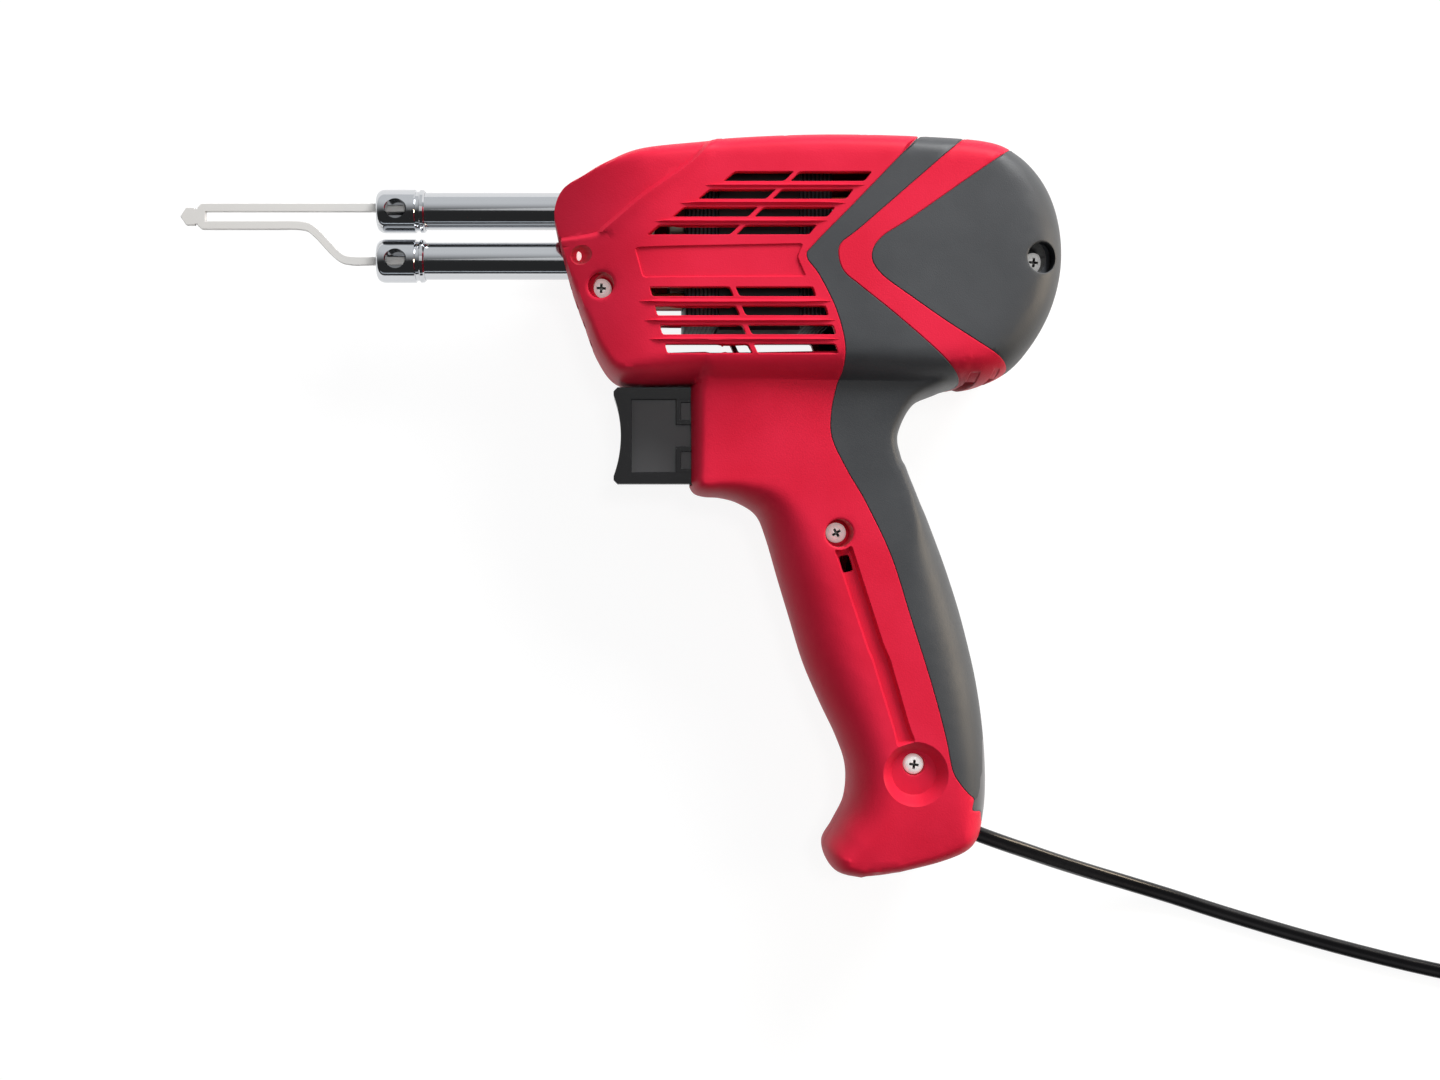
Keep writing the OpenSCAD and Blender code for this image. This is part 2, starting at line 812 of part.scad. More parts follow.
module right_overmould() {
    color(black)
        right_side()
            difference() {
                second_shot();
                cord_hole();
            }
}

// Fasteners

module screw(seat) {
    difference() {
        union() {
            translate([0, 0, -screw_bite])
                cylinder(d = screw_d, h = screw_bite + seat);
            translate([0, 0, seat])
                cylinder(d = screw_head_d, h = screw_head_h * 0.6);
            translate([0, 0, seat + screw_head_h * 0.6])
                cylinder(d1 = screw_head_d, d2 = screw_head_d * 0.72, h = screw_head_h * 0.4);
        }
        for (turn = [0, 90])
            rotate([0, 0, turn + 20])
                translate([-cross_l / 2, -cross_w / 2, seat + 0.8])
                    cube([cross_l, cross_w, screw_head_h]);
    }
}
module case_screws() {
    color(steel)
        left_side()
            for (s = SCREWS)
                translate([s[0], s[1], 0])
                    screw(s[2]);
}

// Secondary tubes, nuts and tip

module along_tube(x, y) {
    translate([x, y, parting])
        rotate([0, 90, 0])
            children();
}

module barrel(y) {
    color(steel)
        along_tube(tube_front, y)
            difference() {
                cylinder(d = tube_d, h = tube_back - tube_front);
                translate([0, 0, tube_plug])
                    cylinder(d = tube_bore, h = tube_back - tube_front);
                translate([0, 0, -1])
                    cylinder(d = leg_hole_d, h = tube_plug + 2);
            }
}
module upper_barrel() {
    barrel(TUBES[0]);
}
module lower_barrel() {
    barrel(TUBES[1]);
}

module barrel_spacer() {
    width = strap_width;
    low = TUBES[1] - tube_d / 2 - spacer_margin;
    high = TUBES[0] + tube_d / 2 + spacer_margin;
    color("tan")
        difference() {
            translate([spacer_x, low, parting - width / 2])
                cube([spacer_thick, high - low, width]);
            for (y = TUBES)
                along_tube(spacer_x - 1, y)
                    cylinder(d = tube_d + 2 * run_gap, h = spacer_thick + 2);
        }
}

module tip_nut(y) {
    color(steel)
        along_tube(nut_front, y)
            difference() {
                rotate_extrude()
                    polygon([
                        [0, 0], [nut_d / 2 - 1.3, 0], [nut_d / 2 - 0.35, nut_dome * 0.4], [nut_d / 2, nut_dome],
                        [nut_d / 2, nut_length - 2.4], [nut_d / 2 - 0.5, nut_length - 2.2],
                        [nut_d / 2 - 0.5, nut_length - 1.3], [nut_d / 2 - 0.1, nut_length - 1.1],
                        [nut_d / 2 - 0.5, nut_length], [0, nut_length]
                    ]);
                translate([0, 0, nut_wall])
                    cylinder(d = tube_d + 2 * run_gap, h = nut_length);
                translate([0, 0, -1])
                    cylinder(d = leg_hole_d, h = nut_length);
                translate([0, 0, 5.1])
                    rotate([0, -90, 0])
                        cylinder(d = nut_hole_d, h = nut_d);
            }
}
module upper_tip_nut() {
    tip_nut(TUBES[0]);
}
module lower_tip_nut() {
    tip_nut(TUBES[1]);
}

module soldering_tip() {
    upper = TUBES[0] + tip_rise;
    lower = upper - tip_slot - tip_leg;
    half = tip_leg / 2;
    neck_x = tip_end + tip_head;
    band_x = neck_x + tip_neck;
    middle = (upper + lower) / 2;
    head_half = half + tip_slot / 2;
    neck_half = head_half - 0.3;
    end_x = tube_front + tip_embed;
    bend = line_through([
        [band_x + 2, lower], [tube_front - 36, lower], [tube_front - 28.5, lower - 0.1],
        [tube_front - 25, lower - 1.6], [tube_front - 19, TUBES[1] + 1.3],
        [tube_front - 15.5, TUBES[1]], [tube_front - 10, TUBES[1]], [end_x, TUBES[1]]
    ], 4);
    sides = ribbon(bend, tip_leg);
    color("gainsboro")
        translate([0, 0, parting - tip_thick / 2])
            linear_extrude(height = tip_thick)
                polygon(concat(
                    [
                        [end_x, upper - half], [end_x, upper + half], [band_x + 1, upper + half],
                        [band_x, upper + half - 1], [band_x, middle + neck_half], [neck_x, middle + neck_half],
                        [neck_x, middle + head_half], [tip_end + 1.5, middle + head_half], [tip_end, middle],
                        [tip_end + 1.5, middle - head_half], [neck_x, middle - head_half],
                        [neck_x, middle - neck_half], [band_x, middle - neck_half], [band_x, lower - half + 1],
                        [band_x + 1, lower - half]
                    ],
                    reversed([for (i = [len(bend) : len(sides) - 1]) sides[i]]),
                    reversed([for (i = [0 : len(bend) - 1]) sides[i]]),
                    [[band_x + 2, upper - half]]
                ));
}

// Lamps

module lamp() {
    color("white")
        along_lamp() {
            cylinder(d = lamp_d, h = lamp_length - lamp_d / 2, $fn = 24);
            translate([0, 0, lamp_length - lamp_d / 2])
                sphere(d = lamp_d, $fn = 24);
        }
}
module left_lamp() {
    left_side()
        lamp();
}
module right_lamp() {
    right_side()
        lamp();
}
module lamp_leads() {
    route = line_through([
        lamp_base + [0.9, 0, -0.36], lamp_base + [3.4, -1, -0.8], [1.8, 60.4, 11.6], [4.3, 56, 11.2],
        [4.6, 49, 10.5], [5, 42, 9.5], [9, 37.4, 8.5], [18, 35.4, 8], [30, 35.2, 8]
    ], 2);
    color("white") {
        left_side()
            wire(route, lamp_lead_d, 6, [0, 0, 1]);
        right_side()
            wire(route, lamp_lead_d, 6, [0, 0, 1]);
    }
}

// Transformer, with the limbs of the core across the part

module core_block(x, low, high, from, to) {
    translate([x, low, from])
        cube([core_stack, high - low, to - from]);
}
module core_e_stack() {
    top = core_y + core_height;
    color("dimgray")
        translate([0, 0, parting])
            difference() {
                core_block(core_x, core_y, top, -core_half, window_half);
                translate([core_x - 1, core_y + limb / 2, -window_half])
                    cube([core_stack + 2, limb / 2, 2 * window_half + 1]);
                translate([core_x - 1, top - limb, -window_half])
                    cube([core_stack + 2, limb / 2, 2 * window_half + 1]);
            }
}
module core_i_stack() {
    color("dimgray")
        translate([0, 0, parting])
            core_block(core_x, core_y, core_y + core_height, window_half, core_half);
}
module core_bracket() {
    outer = core_half + bracket;
    color(steel)
        translate([bracket_x, core_y - bracket, parting - outer])
            difference() {
                cube([bracket_length, core_height + bracket, 2 * outer]);
                translate([-1, bracket, bracket])
                    cube([bracket_length + 2, core_height + 2, 2 * core_half]);
            }
}

// Rectangular ring round the middle limb
module limb_ring(inner, outer, from, to) {
    translate([0, 0, parting])
        difference() {
            translate([core_x - outer, limb_y - outer, from])
                cube([core_stack + 2 * outer, limb + 2 * outer, to - from]);
            translate([core_x - inner, limb_y - inner, from - 1])
                cube([core_stack + 2 * inner, limb + 2 * inner, to - from + 2]);
        }
}
module coil_bobbin() {
    inner = seat_gap;
    outer = inner + bobbin_wall;
    edge = window_half - seat_gap;
    color("ivory") {
        limb_ring(inner, outer, -edge, edge);
        for (z = [-edge, edge - bobbin_flange])
            limb_ring(inner, outer + winding, z, z + bobbin_flange);
    }
}
module primary_winding() {
    inner = seat_gap + bobbin_wall;
    edge = window_half - seat_gap - bobbin_flange;
    color(copper)
        limb_ring(inner, inner + winding - 0.4, -edge, edge);
}
module secondary_strap() {
    t = strap_thick;
    tab_high = TUBES[0] - tube_d / 2;
    tab_low = TUBES[1] + tube_d / 2;
    color(copper)
        translate([0, 0, parting - strap_width / 2])
            linear_extrude(height = strap_width)
                polygon([
                    [strap_front, tab_high], [strap_front, strap_high + t], [strap_back, strap_high + t],
                    [strap_back, strap_low], [strap_front, strap_low], [strap_front, tab_low],
                    [strap_front + t, tab_low], [strap_front + t, strap_low + t],
                    [strap_back - t, strap_low + t], [strap_back - t, strap_high],
                    [strap_front + t, strap_high], [strap_front + t, tab_high]
                ]);
}

// Trigger, spring and switch

module trigger_profile() {
    half = trigger_height / 2;
    hollow_r = (pow(half - 2, 2) + pow(trigger_hollow, 2)) / (2 * trigger_hollow);
    difference() {
        translate([trigger_front, trigger_bottom])
            square([trigger_back - trigger_front, trigger_height]);
        translate([trigger_front + trigger_hollow - hollow_r, trigger_middle])
            circle(r = hollow_r, $fn = 96);
        for (turn = [1, -1])
            translate([trigger_front, trigger_middle + turn * half])
                rotate([0, 0, 45])
                    square(1.4, center = true);
    }
}
module trigger_frame(low, high) {
    translate([pad_front, low, trigger_width / 2 - pad_proud - 0.1])
        difference() {
            cube([neck_front - pad_front + 4, high - low, pad_proud]);
            translate([pad_rim, pad_rim, 0.4])
                cube([neck_front - pad_front + 4, high - low - 2 * pad_rim, 2]);
        }
}
module trigger() {
    half = trigger_width / 2;
    color("#1b1b1d")
        translate([0, 0, parting]) {
            difference() {
                translate([0, 0, -half])
                    linear_extrude(height = trigger_width)
                        trigger_profile();
                for (side = [1, -1])
                    translate([4, trigger_bottom + 3, side > 0 ? half - 1.2 : -half - 1])
                        cube([neck_front - 2, trigger_height - 6, 2.2]);
                along_trigger(trigger_back - trigger_pocket)
                    cylinder(d = 2 * spring_r + spring_wire + 0.8, h = trigger_pocket + 1);
            }
            for (side = [0, 1])
                mirror([0, 0, side]) {
                    trigger_frame(trigger_top - 9.4, trigger_top - 2.6);
                    trigger_frame(trigger_bottom + 2.6, trigger_bottom + 9.4);
                }
            for (side = [0, 1])
                mirror([0, 0, side])
                    translate([trigger_back - trigger_flange, trigger_bottom + 4, half - 0.5])
                        cube([trigger_flange, trigger_height - 8, trigger_lip + 0.5]);
        }
}
module along_trigger(x) {
    translate([x, trigger_middle, 0])
        rotate([0, 90, 0])
            children();
}

module trigger_spring() {
    steps = 8;
    turns = spring_turns;
    start = trigger_back - trigger_pocket + spring_wire / 2 + seat_gap;
    length = switch_front - start - spring_wire / 2 - seat_gap;
    points = [
        for (i = [0 : turns * steps])
            let (share = i / (turns * steps), angle = 360 * i / steps)
            [start + length * share, trigger_middle + spring_r * cos(angle), parting + spring_r * sin(angle)]
    ];
    color(steel)
        wire(points, spring_wire, 6, [1, 0, 0]);
}

module switch_body() {
    color("#26282b")
        translate([0, 0, parting])
            difference() {
                translate([switch_front, switch_y, -switch_width / 2])
                    cube([switch_length, switch_height, switch_width]);
                along_trigger(switch_front - 1)
                    cylinder(d = plunger_d + 2 * run_gap, h = plunger_depth + trigger_travel + 3);
            }
}
module switch_plunger() {
    color("ivory")
        translate([0, 0, parting])
            along_trigger(plunger_front)
                cylinder(d = plunger_d, h = switch_front + plunger_depth - plunger_front);
}
module switch_terminals() {
    color("goldenrod")
        for (z = TERMINALS) for (y = [-terminal_rise, terminal_rise])
            translate([
                switch_front + switch_length, trigger_middle + y - terminal_size[1] / 2,
                parting + z - terminal_size[2] / 2
            ])
                cube(terminal_size);
}

// Inner wiring

module primary_leads() {
    back = core_x + core_stack + seat_gap + bobbin_wall + winding;
    color("firebrick")
        for (z = TERMINALS)
            let (beside = sign(z) * (strap_width / 2 + 2))
            translate([0, 0, parting])
                wire(line_through([
                    [back + 0.4, limb_y + 6, z], [back + 0.8, limb_y + 4, z + sign(z) * 2.6],
                    [back + 1, limb_y + 1, beside], [back + 2, limb_y - 4, beside + sign(z)],
                    [back + 4, limb_y - 12, beside], [back + 3, 40, z + sign(z) * 5], [66, 33, z + sign(z) * 3],
                    [terminal_end, trigger_middle + terminal_rise, z]
                ], 3), primary_lead_d, 6, [0, 0, 1]);
}
module wire_connectors() {
    color("ivory")
        for (z = TERMINALS)
            translate([connector_place[0], connector_place[1], parting + z])
                rotate([0, 0, connector_turn])
                    rotate([0, 90, 0]) {
                        cylinder(d = connector_d, h = 1.5 * connector_d);
                        translate([0, 0, 1.5 * connector_d])
                            cylinder(d1 = connector_d, d2 = 0.6 * connector_d, h = 4);
                    }
}
module mains_leads() {
    color("#202022")
        for (z = TERMINALS)
            translate([0, 0, parting]) {
                wire(line_through([
                    [terminal_end, trigger_middle - terminal_rise, z], [66, 3, z * 1.1],
                    [62, -8, z], [60.2, -17.4, z]
                ], 3), lead_d, 6, [0, 0, 1]);
                wire(line_through([
                    [64.2, -30.8, z], [66.4, -42, z * 0.9], [65.4, -54, z * 1.2], [66.2, -64, z],
                    [69.4, -71.4, z * 0.6], [clamp_x - 1.2, clamp_y, sign(z)]
                ], 3), lead_d, 6, [0, 0, 1]);
            }
}

// Cord

module cord_clamp() {
    color("#26282b")
        translate([clamp_x, clamp_y, parting])
            difference() {
                translate([0, -clamp_size[1] / 2, -clamp_size[2] / 2])
                    cube(clamp_size);
                rotate([0, 0, cord_slope])
                    translate([-4, -cord_width / 2 - clear_gap, -cord_thick / 2 - clear_gap])
                        cube([20, cord_width + 2 * clear_gap, cord_thick + 2 * clear_gap]);
            }
}

module power_cord() {
    color("#202022")
        swept([for (p = line_through(ROUTE, 3)) [p[0], p[1], max(p[2] + parting, cord_z)]],
            cord_width, cord_thick, cord_sides);
}

// Loops run in and out again. Each steps sideways over most of its turn, and the climb to the next layer
// takes the rest of it, where the loops run straight round
function eased(t) =
    let (u = min(max(t, 0), 1))
    u * u * (3 - 2 * u);
function coil_spot(turn) =
    let (steps = floor(turn) + eased((turn - floor(turn) - climb_share / 2) / (1 - climb_share)))
    let (layer = min(floor(steps / layer_loops), coil_layers - 1))
    let (along = steps / layer_loops - layer, inwards = layer % 2 == 0)
    let (radius = coil_radius - loop_pitch * layer_loops * (inwards ? along : 1 - along))
    let (reverse = min(max(round(turn / layer_loops), 1), coil_layers - 1))
    let (level = reverse - 1 + eased((turn - reverse * layer_loops) / climb_share + 0.5))
    let (z = cord_z + layer_pitch * level, angle = 360 * turn - 90)
    [coil_centre[0] + radius * cos(angle), coil_centre[1] + radius * sin(angle), z];
// Least gap between loops, measured between points a quarter turn or more apart along the coil
function coil_distance(i, j) =
    let (d = coil_path[i] - coil_path[j], across = norm(flat(d)) - cord_width, above = abs(d[2]) - cord_thick)
    max(across, above);
echo(coil_least_gap = coil_gap);
module cord_coil() {
    color("#202022")
        swept(coil_path, cord_width, cord_thick, coil_sides);
}
module cord_tail() {
    color("#202022")
        swept(line_through([
            [tail_start[0], tail_start[1], coil_top], [tail_start[0] + 8, tail_start[1], coil_top],
            [tail_start[0] + 16, tail_start[1] - 2, coil_top + 0.2], [tail_start[0] + 26, tail_start[1] - 6, 7],
            [plug_x - 8, plug_y, plug_size[1] / 2], [plug_x, plug_y, plug_size[1] / 2]
        ], 3), cord_width, cord_thick, cord_sides);
}
module cord_tie() {
    depth = loop_pitch * (layer_loops - 1) + cord_width + 2 * tie_gap;
    height = coil_top + cord_thick / 2 + tie_gap;
    first = coil_radius - loop_pitch * (layer_loops - 0.5) - cord_width / 2 - tie_gap;
    color("#202022")
        translate([coil_centre[0], coil_centre[1] + first, 0])
            translate([-2, 0, 0])
                difference() {
                    translate([0, -1.2, 0])
                        cube([4, depth + 2.4, height + 1.2]);
                    translate([-1, 0, -1])
                        cube([6, depth, height + 1]);
                }
}
module plug_body() {
    color("#202022")
        translate([plug_x, plug_y, plug_size[1] / 2])
            rotate([0, 90, 0]) {
                cylinder(d1 = 6, d2 = 9, h = 6);
                translate([-plug_size[1] / 2, -plug_size[0] / 2, 6])
                    cube([plug_size[1], plug_size[0], plug_length - 6]);
            }
}
module plug_blades() {
    color("goldenrod")
        for (side = [-1, 1])
            translate([plug_x + plug_length, plug_y + side * blade_spacing / 2 - blade[0] / 2,
                    plug_size[1] / 2 - blade[1] / 2])
                cube([blade[2], blade[0], blade[1]]);
}

left_housing();
right_housing();
left_overmould();
right_overmould();
case_screws();
upper_barrel();
lower_barrel();
barrel_spacer();
upper_tip_nut();
lower_tip_nut();
soldering_tip();
left_lamp();
right_lamp();
lamp_leads();
core_e_stack();
core_i_stack();
core_bracket();
coil_bobbin();
primary_winding();
secondary_strap();
primary_leads();
trigger();
trigger_spring();
switch_body();
switch_plunger();
switch_terminals();
wire_connectors();
mains_leads();
cord_clamp();
power_cord();
cord_coil();
cord_tail();
cord_tie();
plug_body();
plug_blades();
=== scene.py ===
"""Looks of a pistol-grip soldering gun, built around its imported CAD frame."""
import json
import math

import bmesh
import bpy
import numpy as np
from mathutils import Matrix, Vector
from mathutils.geometry import delaunay_2d_cdt


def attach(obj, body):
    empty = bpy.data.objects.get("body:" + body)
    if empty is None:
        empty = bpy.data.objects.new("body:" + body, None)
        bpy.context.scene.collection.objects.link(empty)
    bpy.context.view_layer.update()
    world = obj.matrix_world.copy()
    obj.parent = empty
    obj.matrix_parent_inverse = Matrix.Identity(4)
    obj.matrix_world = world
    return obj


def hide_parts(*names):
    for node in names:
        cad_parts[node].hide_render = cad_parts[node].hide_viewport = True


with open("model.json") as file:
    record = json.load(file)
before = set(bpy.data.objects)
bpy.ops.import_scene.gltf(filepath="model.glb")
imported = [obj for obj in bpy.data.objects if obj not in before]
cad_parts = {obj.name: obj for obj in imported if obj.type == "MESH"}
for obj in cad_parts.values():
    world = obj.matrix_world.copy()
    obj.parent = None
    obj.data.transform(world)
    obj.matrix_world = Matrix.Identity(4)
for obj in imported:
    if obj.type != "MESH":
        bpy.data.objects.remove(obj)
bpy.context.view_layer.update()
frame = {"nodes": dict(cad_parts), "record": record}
MM = 0.001
MICRON = 0.000001
NODES = frame["nodes"]

# Sizes shared with the part, in millimetres

PARTING = 25.4
PANEL_HALF = 25.0
GRIP_HALF = 17.0
NOSE_START, NOSE_LENGTH, NOSE_DROP = 15.0, 30.0, 12.0
HOOD_STEP = 1.2
HEAD_POWER, GRIP_POWER = 3.0, 2.2
NOSE_BLEND, NECK_BLEND = 1.2, 7.0
# Wall of the shells, what is left of it below a deep recess, and half the joint between the halves
WALL, THIN_WALL, HALF_SEAM = 2.6, 1.2, 0.07

# Points of the head's outline: x, y, radius of its rounded edge
HEAD = [
    (92, 91.2, 9), (76, 92.5, 8), (54, 92.9, 7), (35, 92.4, 7), (20, 91.3, 7), (6, 89.7, 7),
    (-2.5, 86.4, 7), (-8.5, 82.8, 6), (-13.2, 79.8, 5), (-15.4, 75, 5), (-14.9, 69.5, 6),
    (-13.2, 63, 7), (-11, 55, 9), (-8, 46.7, 9), (-5, 38.8, 8), (-0.6, 32.8, 7), (6, 31.1, 8),
    (20, 31.2, 10), (40, 31.3, 11), (60, 31.2, 11), (80, 30.8, 11), (90, 30.6, 12),
    (97.8, 33.8, 13), (103.6, 40, 14), (108.2, 48, 15), (110.8, 57, 15), (111.2, 66, 15),
    (109.3, 75, 14), (105.5, 82.3, 13), (99.8, 87.8, 11),
]
# Grip stations: front x, y, rear x, y, edge radius, extra half width
GRIP = [
    (24, 44, 90, 41, 8, 5), (19.6, 36.5, 88, 32.2, 4.5, 4), (18.6, 30, 81.6, 29.2, 3.8, 2.4),
    (18.6, 24, 74.8, 25.9, 3.6, 1.2), (18.6, 16, 71.1, 18.8, 3.6, 0.3), (18.6, 9.5, 71.8, 13.4, 3.5, 0),
    (18.7, 6.4, 72.9, 11.1, 3.4, -0.1), (20, 4, 74, 8.2, 3.4, -0.1), (22.6, 3.1, 75.2, 5.4, 3.6, -0.1),
    (26.6, 2.8, 76.6, 2.2, 4.4, 0), (31.2, 1.5, 78.6, -2, 6, -0.1), (35.9, -1.7, 81.1, -8, 9, 0),
    (38.4, -7.5, 83.9, -15.5, 11, 0.1), (41.3, -17.5, 87, -25, 12.5, 0),
    (44.6, -28.5, 89.4, -34, 13, -0.1), (47.9, -39.3, 91.3, -42.5, 13, -0.1),
    (52.2, -49.4, 92.7, -51.5, 12.5, 0), (56.4, -58.3, 93.5, -60.5, 11, 0.1), (58.9, -66, 93.7, -69, 10, 0.3),
    (58.6, -74, 93.1, -76, 9, 0.5), (55.8, -80.4, 91.5, -82.4, 7, 0.4), (53, -86, 88, -86.2, 5.5, 0.1),
    (55.2, -91.2, 81, -89, 4.6, -0.5), (61.4, -92.9, 71, -91.5, 4.2, -1),
]

# Borders of the black band, the red chevron and the black cap
BAND_FRONT = [
    (86, 104), (76, 93), (59, 75.2), (48.4, 64.4), (46.2, 61), (49.2, 56.6), (53.2, 48.6),
    (55.4, 40.5), (55.4, 34), (54.2, 30), (53, 24), (53.2, 17.5), (57, 9.5), (61.5, 1.8), (67.8, -11.5),
    (72.4, -26), (77.8, -43.2), (81.2, -56), (82.8, -64), (84.6, -67.4), (87, -70.2), (88.4, -71.6),
    (88, -74.2), (90.5, -75), (91, -76.8), (91.7, -78.2), (94, -80.4), (98, -83),
]
CHEVRON_FRONT = [
    (97, 101), (86.9, 92), (72.5, 79.5), (59, 67.8), (54.6, 64.3), (53.9, 61.2), (55.2, 57.4), (59, 54.1),
    (67.1, 47.6), (75.8, 40.1), (81.5, 34.8), (86.5, 29.5), (90, 24),
]
CHEVRON_REAR = [
    (109, 97), (96.2, 87.6), (85.3, 80), (71.4, 70.3), (64.2, 65.6), (61.9, 61.2), (64.2, 56.8),
    (71.4, 51.4), (80, 45.4), (88.4, 40), (94, 36.4), (98, 32.5), (104, 26),
]
# Features of the side, all as seen from it
HOOD_LINE = [(-24, 66.2), (-6.3, 66.4), (-2, 68.6), (7, 75.6), (20, 85), (28, 96)]
LABEL = [(4.6, 63.4), (6.6, 55.9), (46.2, 56.1), (44, 61), (45.6, 64.2)]
GROOVE = [
    (53.7, -10), (58.1, -8.6), (66, -33.1), (67.7, -37), (72.6, -54), (73.9, -57.2),
    (69.3, -58.6), (68.4, -54.7), (63, -37), (62, -34.8),
]
PEEP_HOLE = [(55, -11.6), (57.6, -11.2), (58.8, -15.2), (56.2, -15.8)]
STRIP = [
    (91.8, -58), (98, -55), (99, -92), (84, -90), (86.9, -74.9), (87.1, -72.4), (89.5, -71.3), (90.3, -69),
    (90.6, -66.4), (91.3, -65.4), (91.5, -62),
]
# Notches in the head's lower edge: place, half width, top of the open cut
NOTCHES = [(87.7, 1.35, 31.4), (93.2, 0.95, 32.3)]
NOTCH_BELOW, NOTCH_STEP, NOTCH_STEP_DEPTH, NOTCH_SLOPE = 26, 2.1, 0.8, 0.25
# Case screws: place, seat height, radius of the recess, width of its soft rim
SCREWS = [
    (-3.5, 54.7, 12, 3.2, 0.9), (103.3, 60.9, 13, 3.8, 0.4), (55.1, -5.9, 9, 3.5, 0.6),
    (73.9, -63.2, 12.2, 2.8, 0.3),
]
GRIP_SCREW = SCREWS[2]
# Round dish in the foot: place, radius of its floor and of its rim, depth
DISH = (73.9, -65.2, 5.5, 8.0, 3.2)
# Lamp bowl: place, half width, half height, depth
LAMP_RIM = (-8.4, 62.4, 2.7, 2.45, 3.4)
LENS_X, LENS_NARROW = -8.95, 0.4
LAMP_BASE, LAMP_LEAN, LAMP_D, LAMP_LENGTH = (-6.6, 62.7, 12.4), 22.0, 3.0, 4.3

# Vent rows over and under the label: edge of the first slot, pitch, height of a slot
UPPER_VENT, UPPER_PITCH, LOWER_VENT, LOWER_PITCH, VENT_HIGH = 66.1, 4.3, 53.8, 4.6, 2.6
NOSE_VENTS, NOSE_VENT_FIRST, NOSE_VENT_PITCH, NOSE_VENT_HIGH, NOSE_VENT_HALF = 4, 40.97, 4.8, 1.6, 9
TRIGGER_LOW, TRIGGER_HIGH = (10, 5.9, -1), (22.5, 30.95, 8.8)
SLOT_CHAMFER, RIB_RISE, RIB_SLOPE, SEAM = 0.16, 0.7, 0.3, 0.22
HOOD_SLOPE, HOOD_FADE, HOOD_RIDGE, RIDGE_WIDTH, RIDGE_END = 1.2, 6, 0.5, 1.6, 67.5
LABEL_DEPTH, LABEL_SLOPE = 0.5, 0.3
GROOVE_DEPTH, GROOVE_SLOPE, GROOVE_LAND = 1.7, 0.7, 0.5

# Steps of the sheet's grid, its clearance, that of the rings, and how finely these are thinned out
GRID_X, GRID_Y, GRID_CLEAR, RING_CLEAR, RING_GRAIN = 1.7, 1.5, 0.7, 0.012, 0.25

TUBE_Y = (76.2, 63.5)
TUBE_D, TUBE_BORE = 9.525, 6.4
TUBE_FRONT, TUBE_BACK, TUBE_CLEAR = -52.0, 8.0, 0.35
TIP_SLOT = 2.4
NUT_D, NUT_FRONT, NUT_LENGTH, NUT_HOLE = 11.1, -60.9, 12.3, 5.0

TRIGGER_HALF, TRIGGER_RIM = 8.5, 3.9

CORD_W, CORD_T = 4.0, 2.2
CORD_Z = CORD_T / 2 + 0.05
# Free stretch of the cord: x, y and height over the parting plane
ROUTE = [
    (78, -76.5, 0), (85, -79.8, 0), (91.4, -82.6, 0), (98.5, -85.4, -1.5), (106, -88.4, -5),
    (115.5, -92.3, -10.5),
    (126, -96.4, -16.5), (137, -100.3, -21), (150, -104.6, -23.6), (164, -109.2, -24.2),
    (182, -114.6, -24.2), (201, -119.8, -24.2), (221, -124.6, -24.2), (240, -128.2, -24.2),
    (258, -130.4, -24.2),
]
COIL_R, COIL_LAYERS, LAYER_LOOPS, LOOP_GAP = 30.0, 4, 3, 0.6
# Share of a turn in which the cord climbs to its next layer
CLIMB = 0.25
TURN_POINTS = 32
COIL_START = (262.0, -130.4)

# Curves

def through(keys, steps, closed=False):
    """Smooth line through keys, with steps points between two of them."""
    k = np.array(keys, float)
    before, after = (k[-1:], k[:2]) if closed else (k[:1], k[-1:])
    k = np.vstack([before, k, after])
    share = (np.arange(steps) / steps)[:, None]
    out = []
    for a, b, c, d in zip(k, k[1:], k[2:], k[3:]):
        out.append(0.5 * (2 * b + (c - a) * share + (2 * a - 5 * b + 4 * c - d) * share ** 2
                          + (3 * b - a - 3 * c + d) * share ** 3))
    return np.vstack(out if closed else out + [after])


def side_normals(line, closed):
    """Unit normals on the left of a line."""
    ahead = np.roll(line, -1, 0) - np.roll(line, 1, 0)
    if not closed:
        ahead[0] = line[1] - line[0]
        ahead[-1] = line[-1] - line[-2]
    left = np.stack([-ahead[:, 1], ahead[:, 0]], 1)
    return left / np.linalg.norm(left, axis=1, keepdims=True)


def rounded(corners, radius):
    """Closed loop with its corners rounded."""
    c = np.array(corners, float)
    out = []
    for i in range(len(c)):
        before, here, after = c[i - 1], c[i], c[(i + 1) % len(c)]
        u = (before - here) / np.linalg.norm(before - here)
        v = (after - here) / np.linalg.norm(after - here)
        reach = min(radius, 0.45 * np.linalg.norm(before - here), 0.45 * np.linalg.norm(after - here))
        start, end = here + u * reach, here + v * reach
        for t in np.linspace(0, 1, 4):
            out.append((1 - t) ** 2 * start + 2 * t * (1 - t) * here + t ** 2 * end)
    return np.array(out)


def circle(x, y, count, rx, ry=None):
    """Circle, or ellipse if it has two radii."""
    a = np.linspace(0, 2 * np.pi, count, endpoint=False)
    return np.stack([x + rx * np.cos(a), y + (ry or rx) * np.sin(a)], 1)


def grown(loop, distance):
    """Counter-clockwise loop moved inwards by distance, or outwards if it is negative."""
    return loop + side_normals(loop, True) * distance


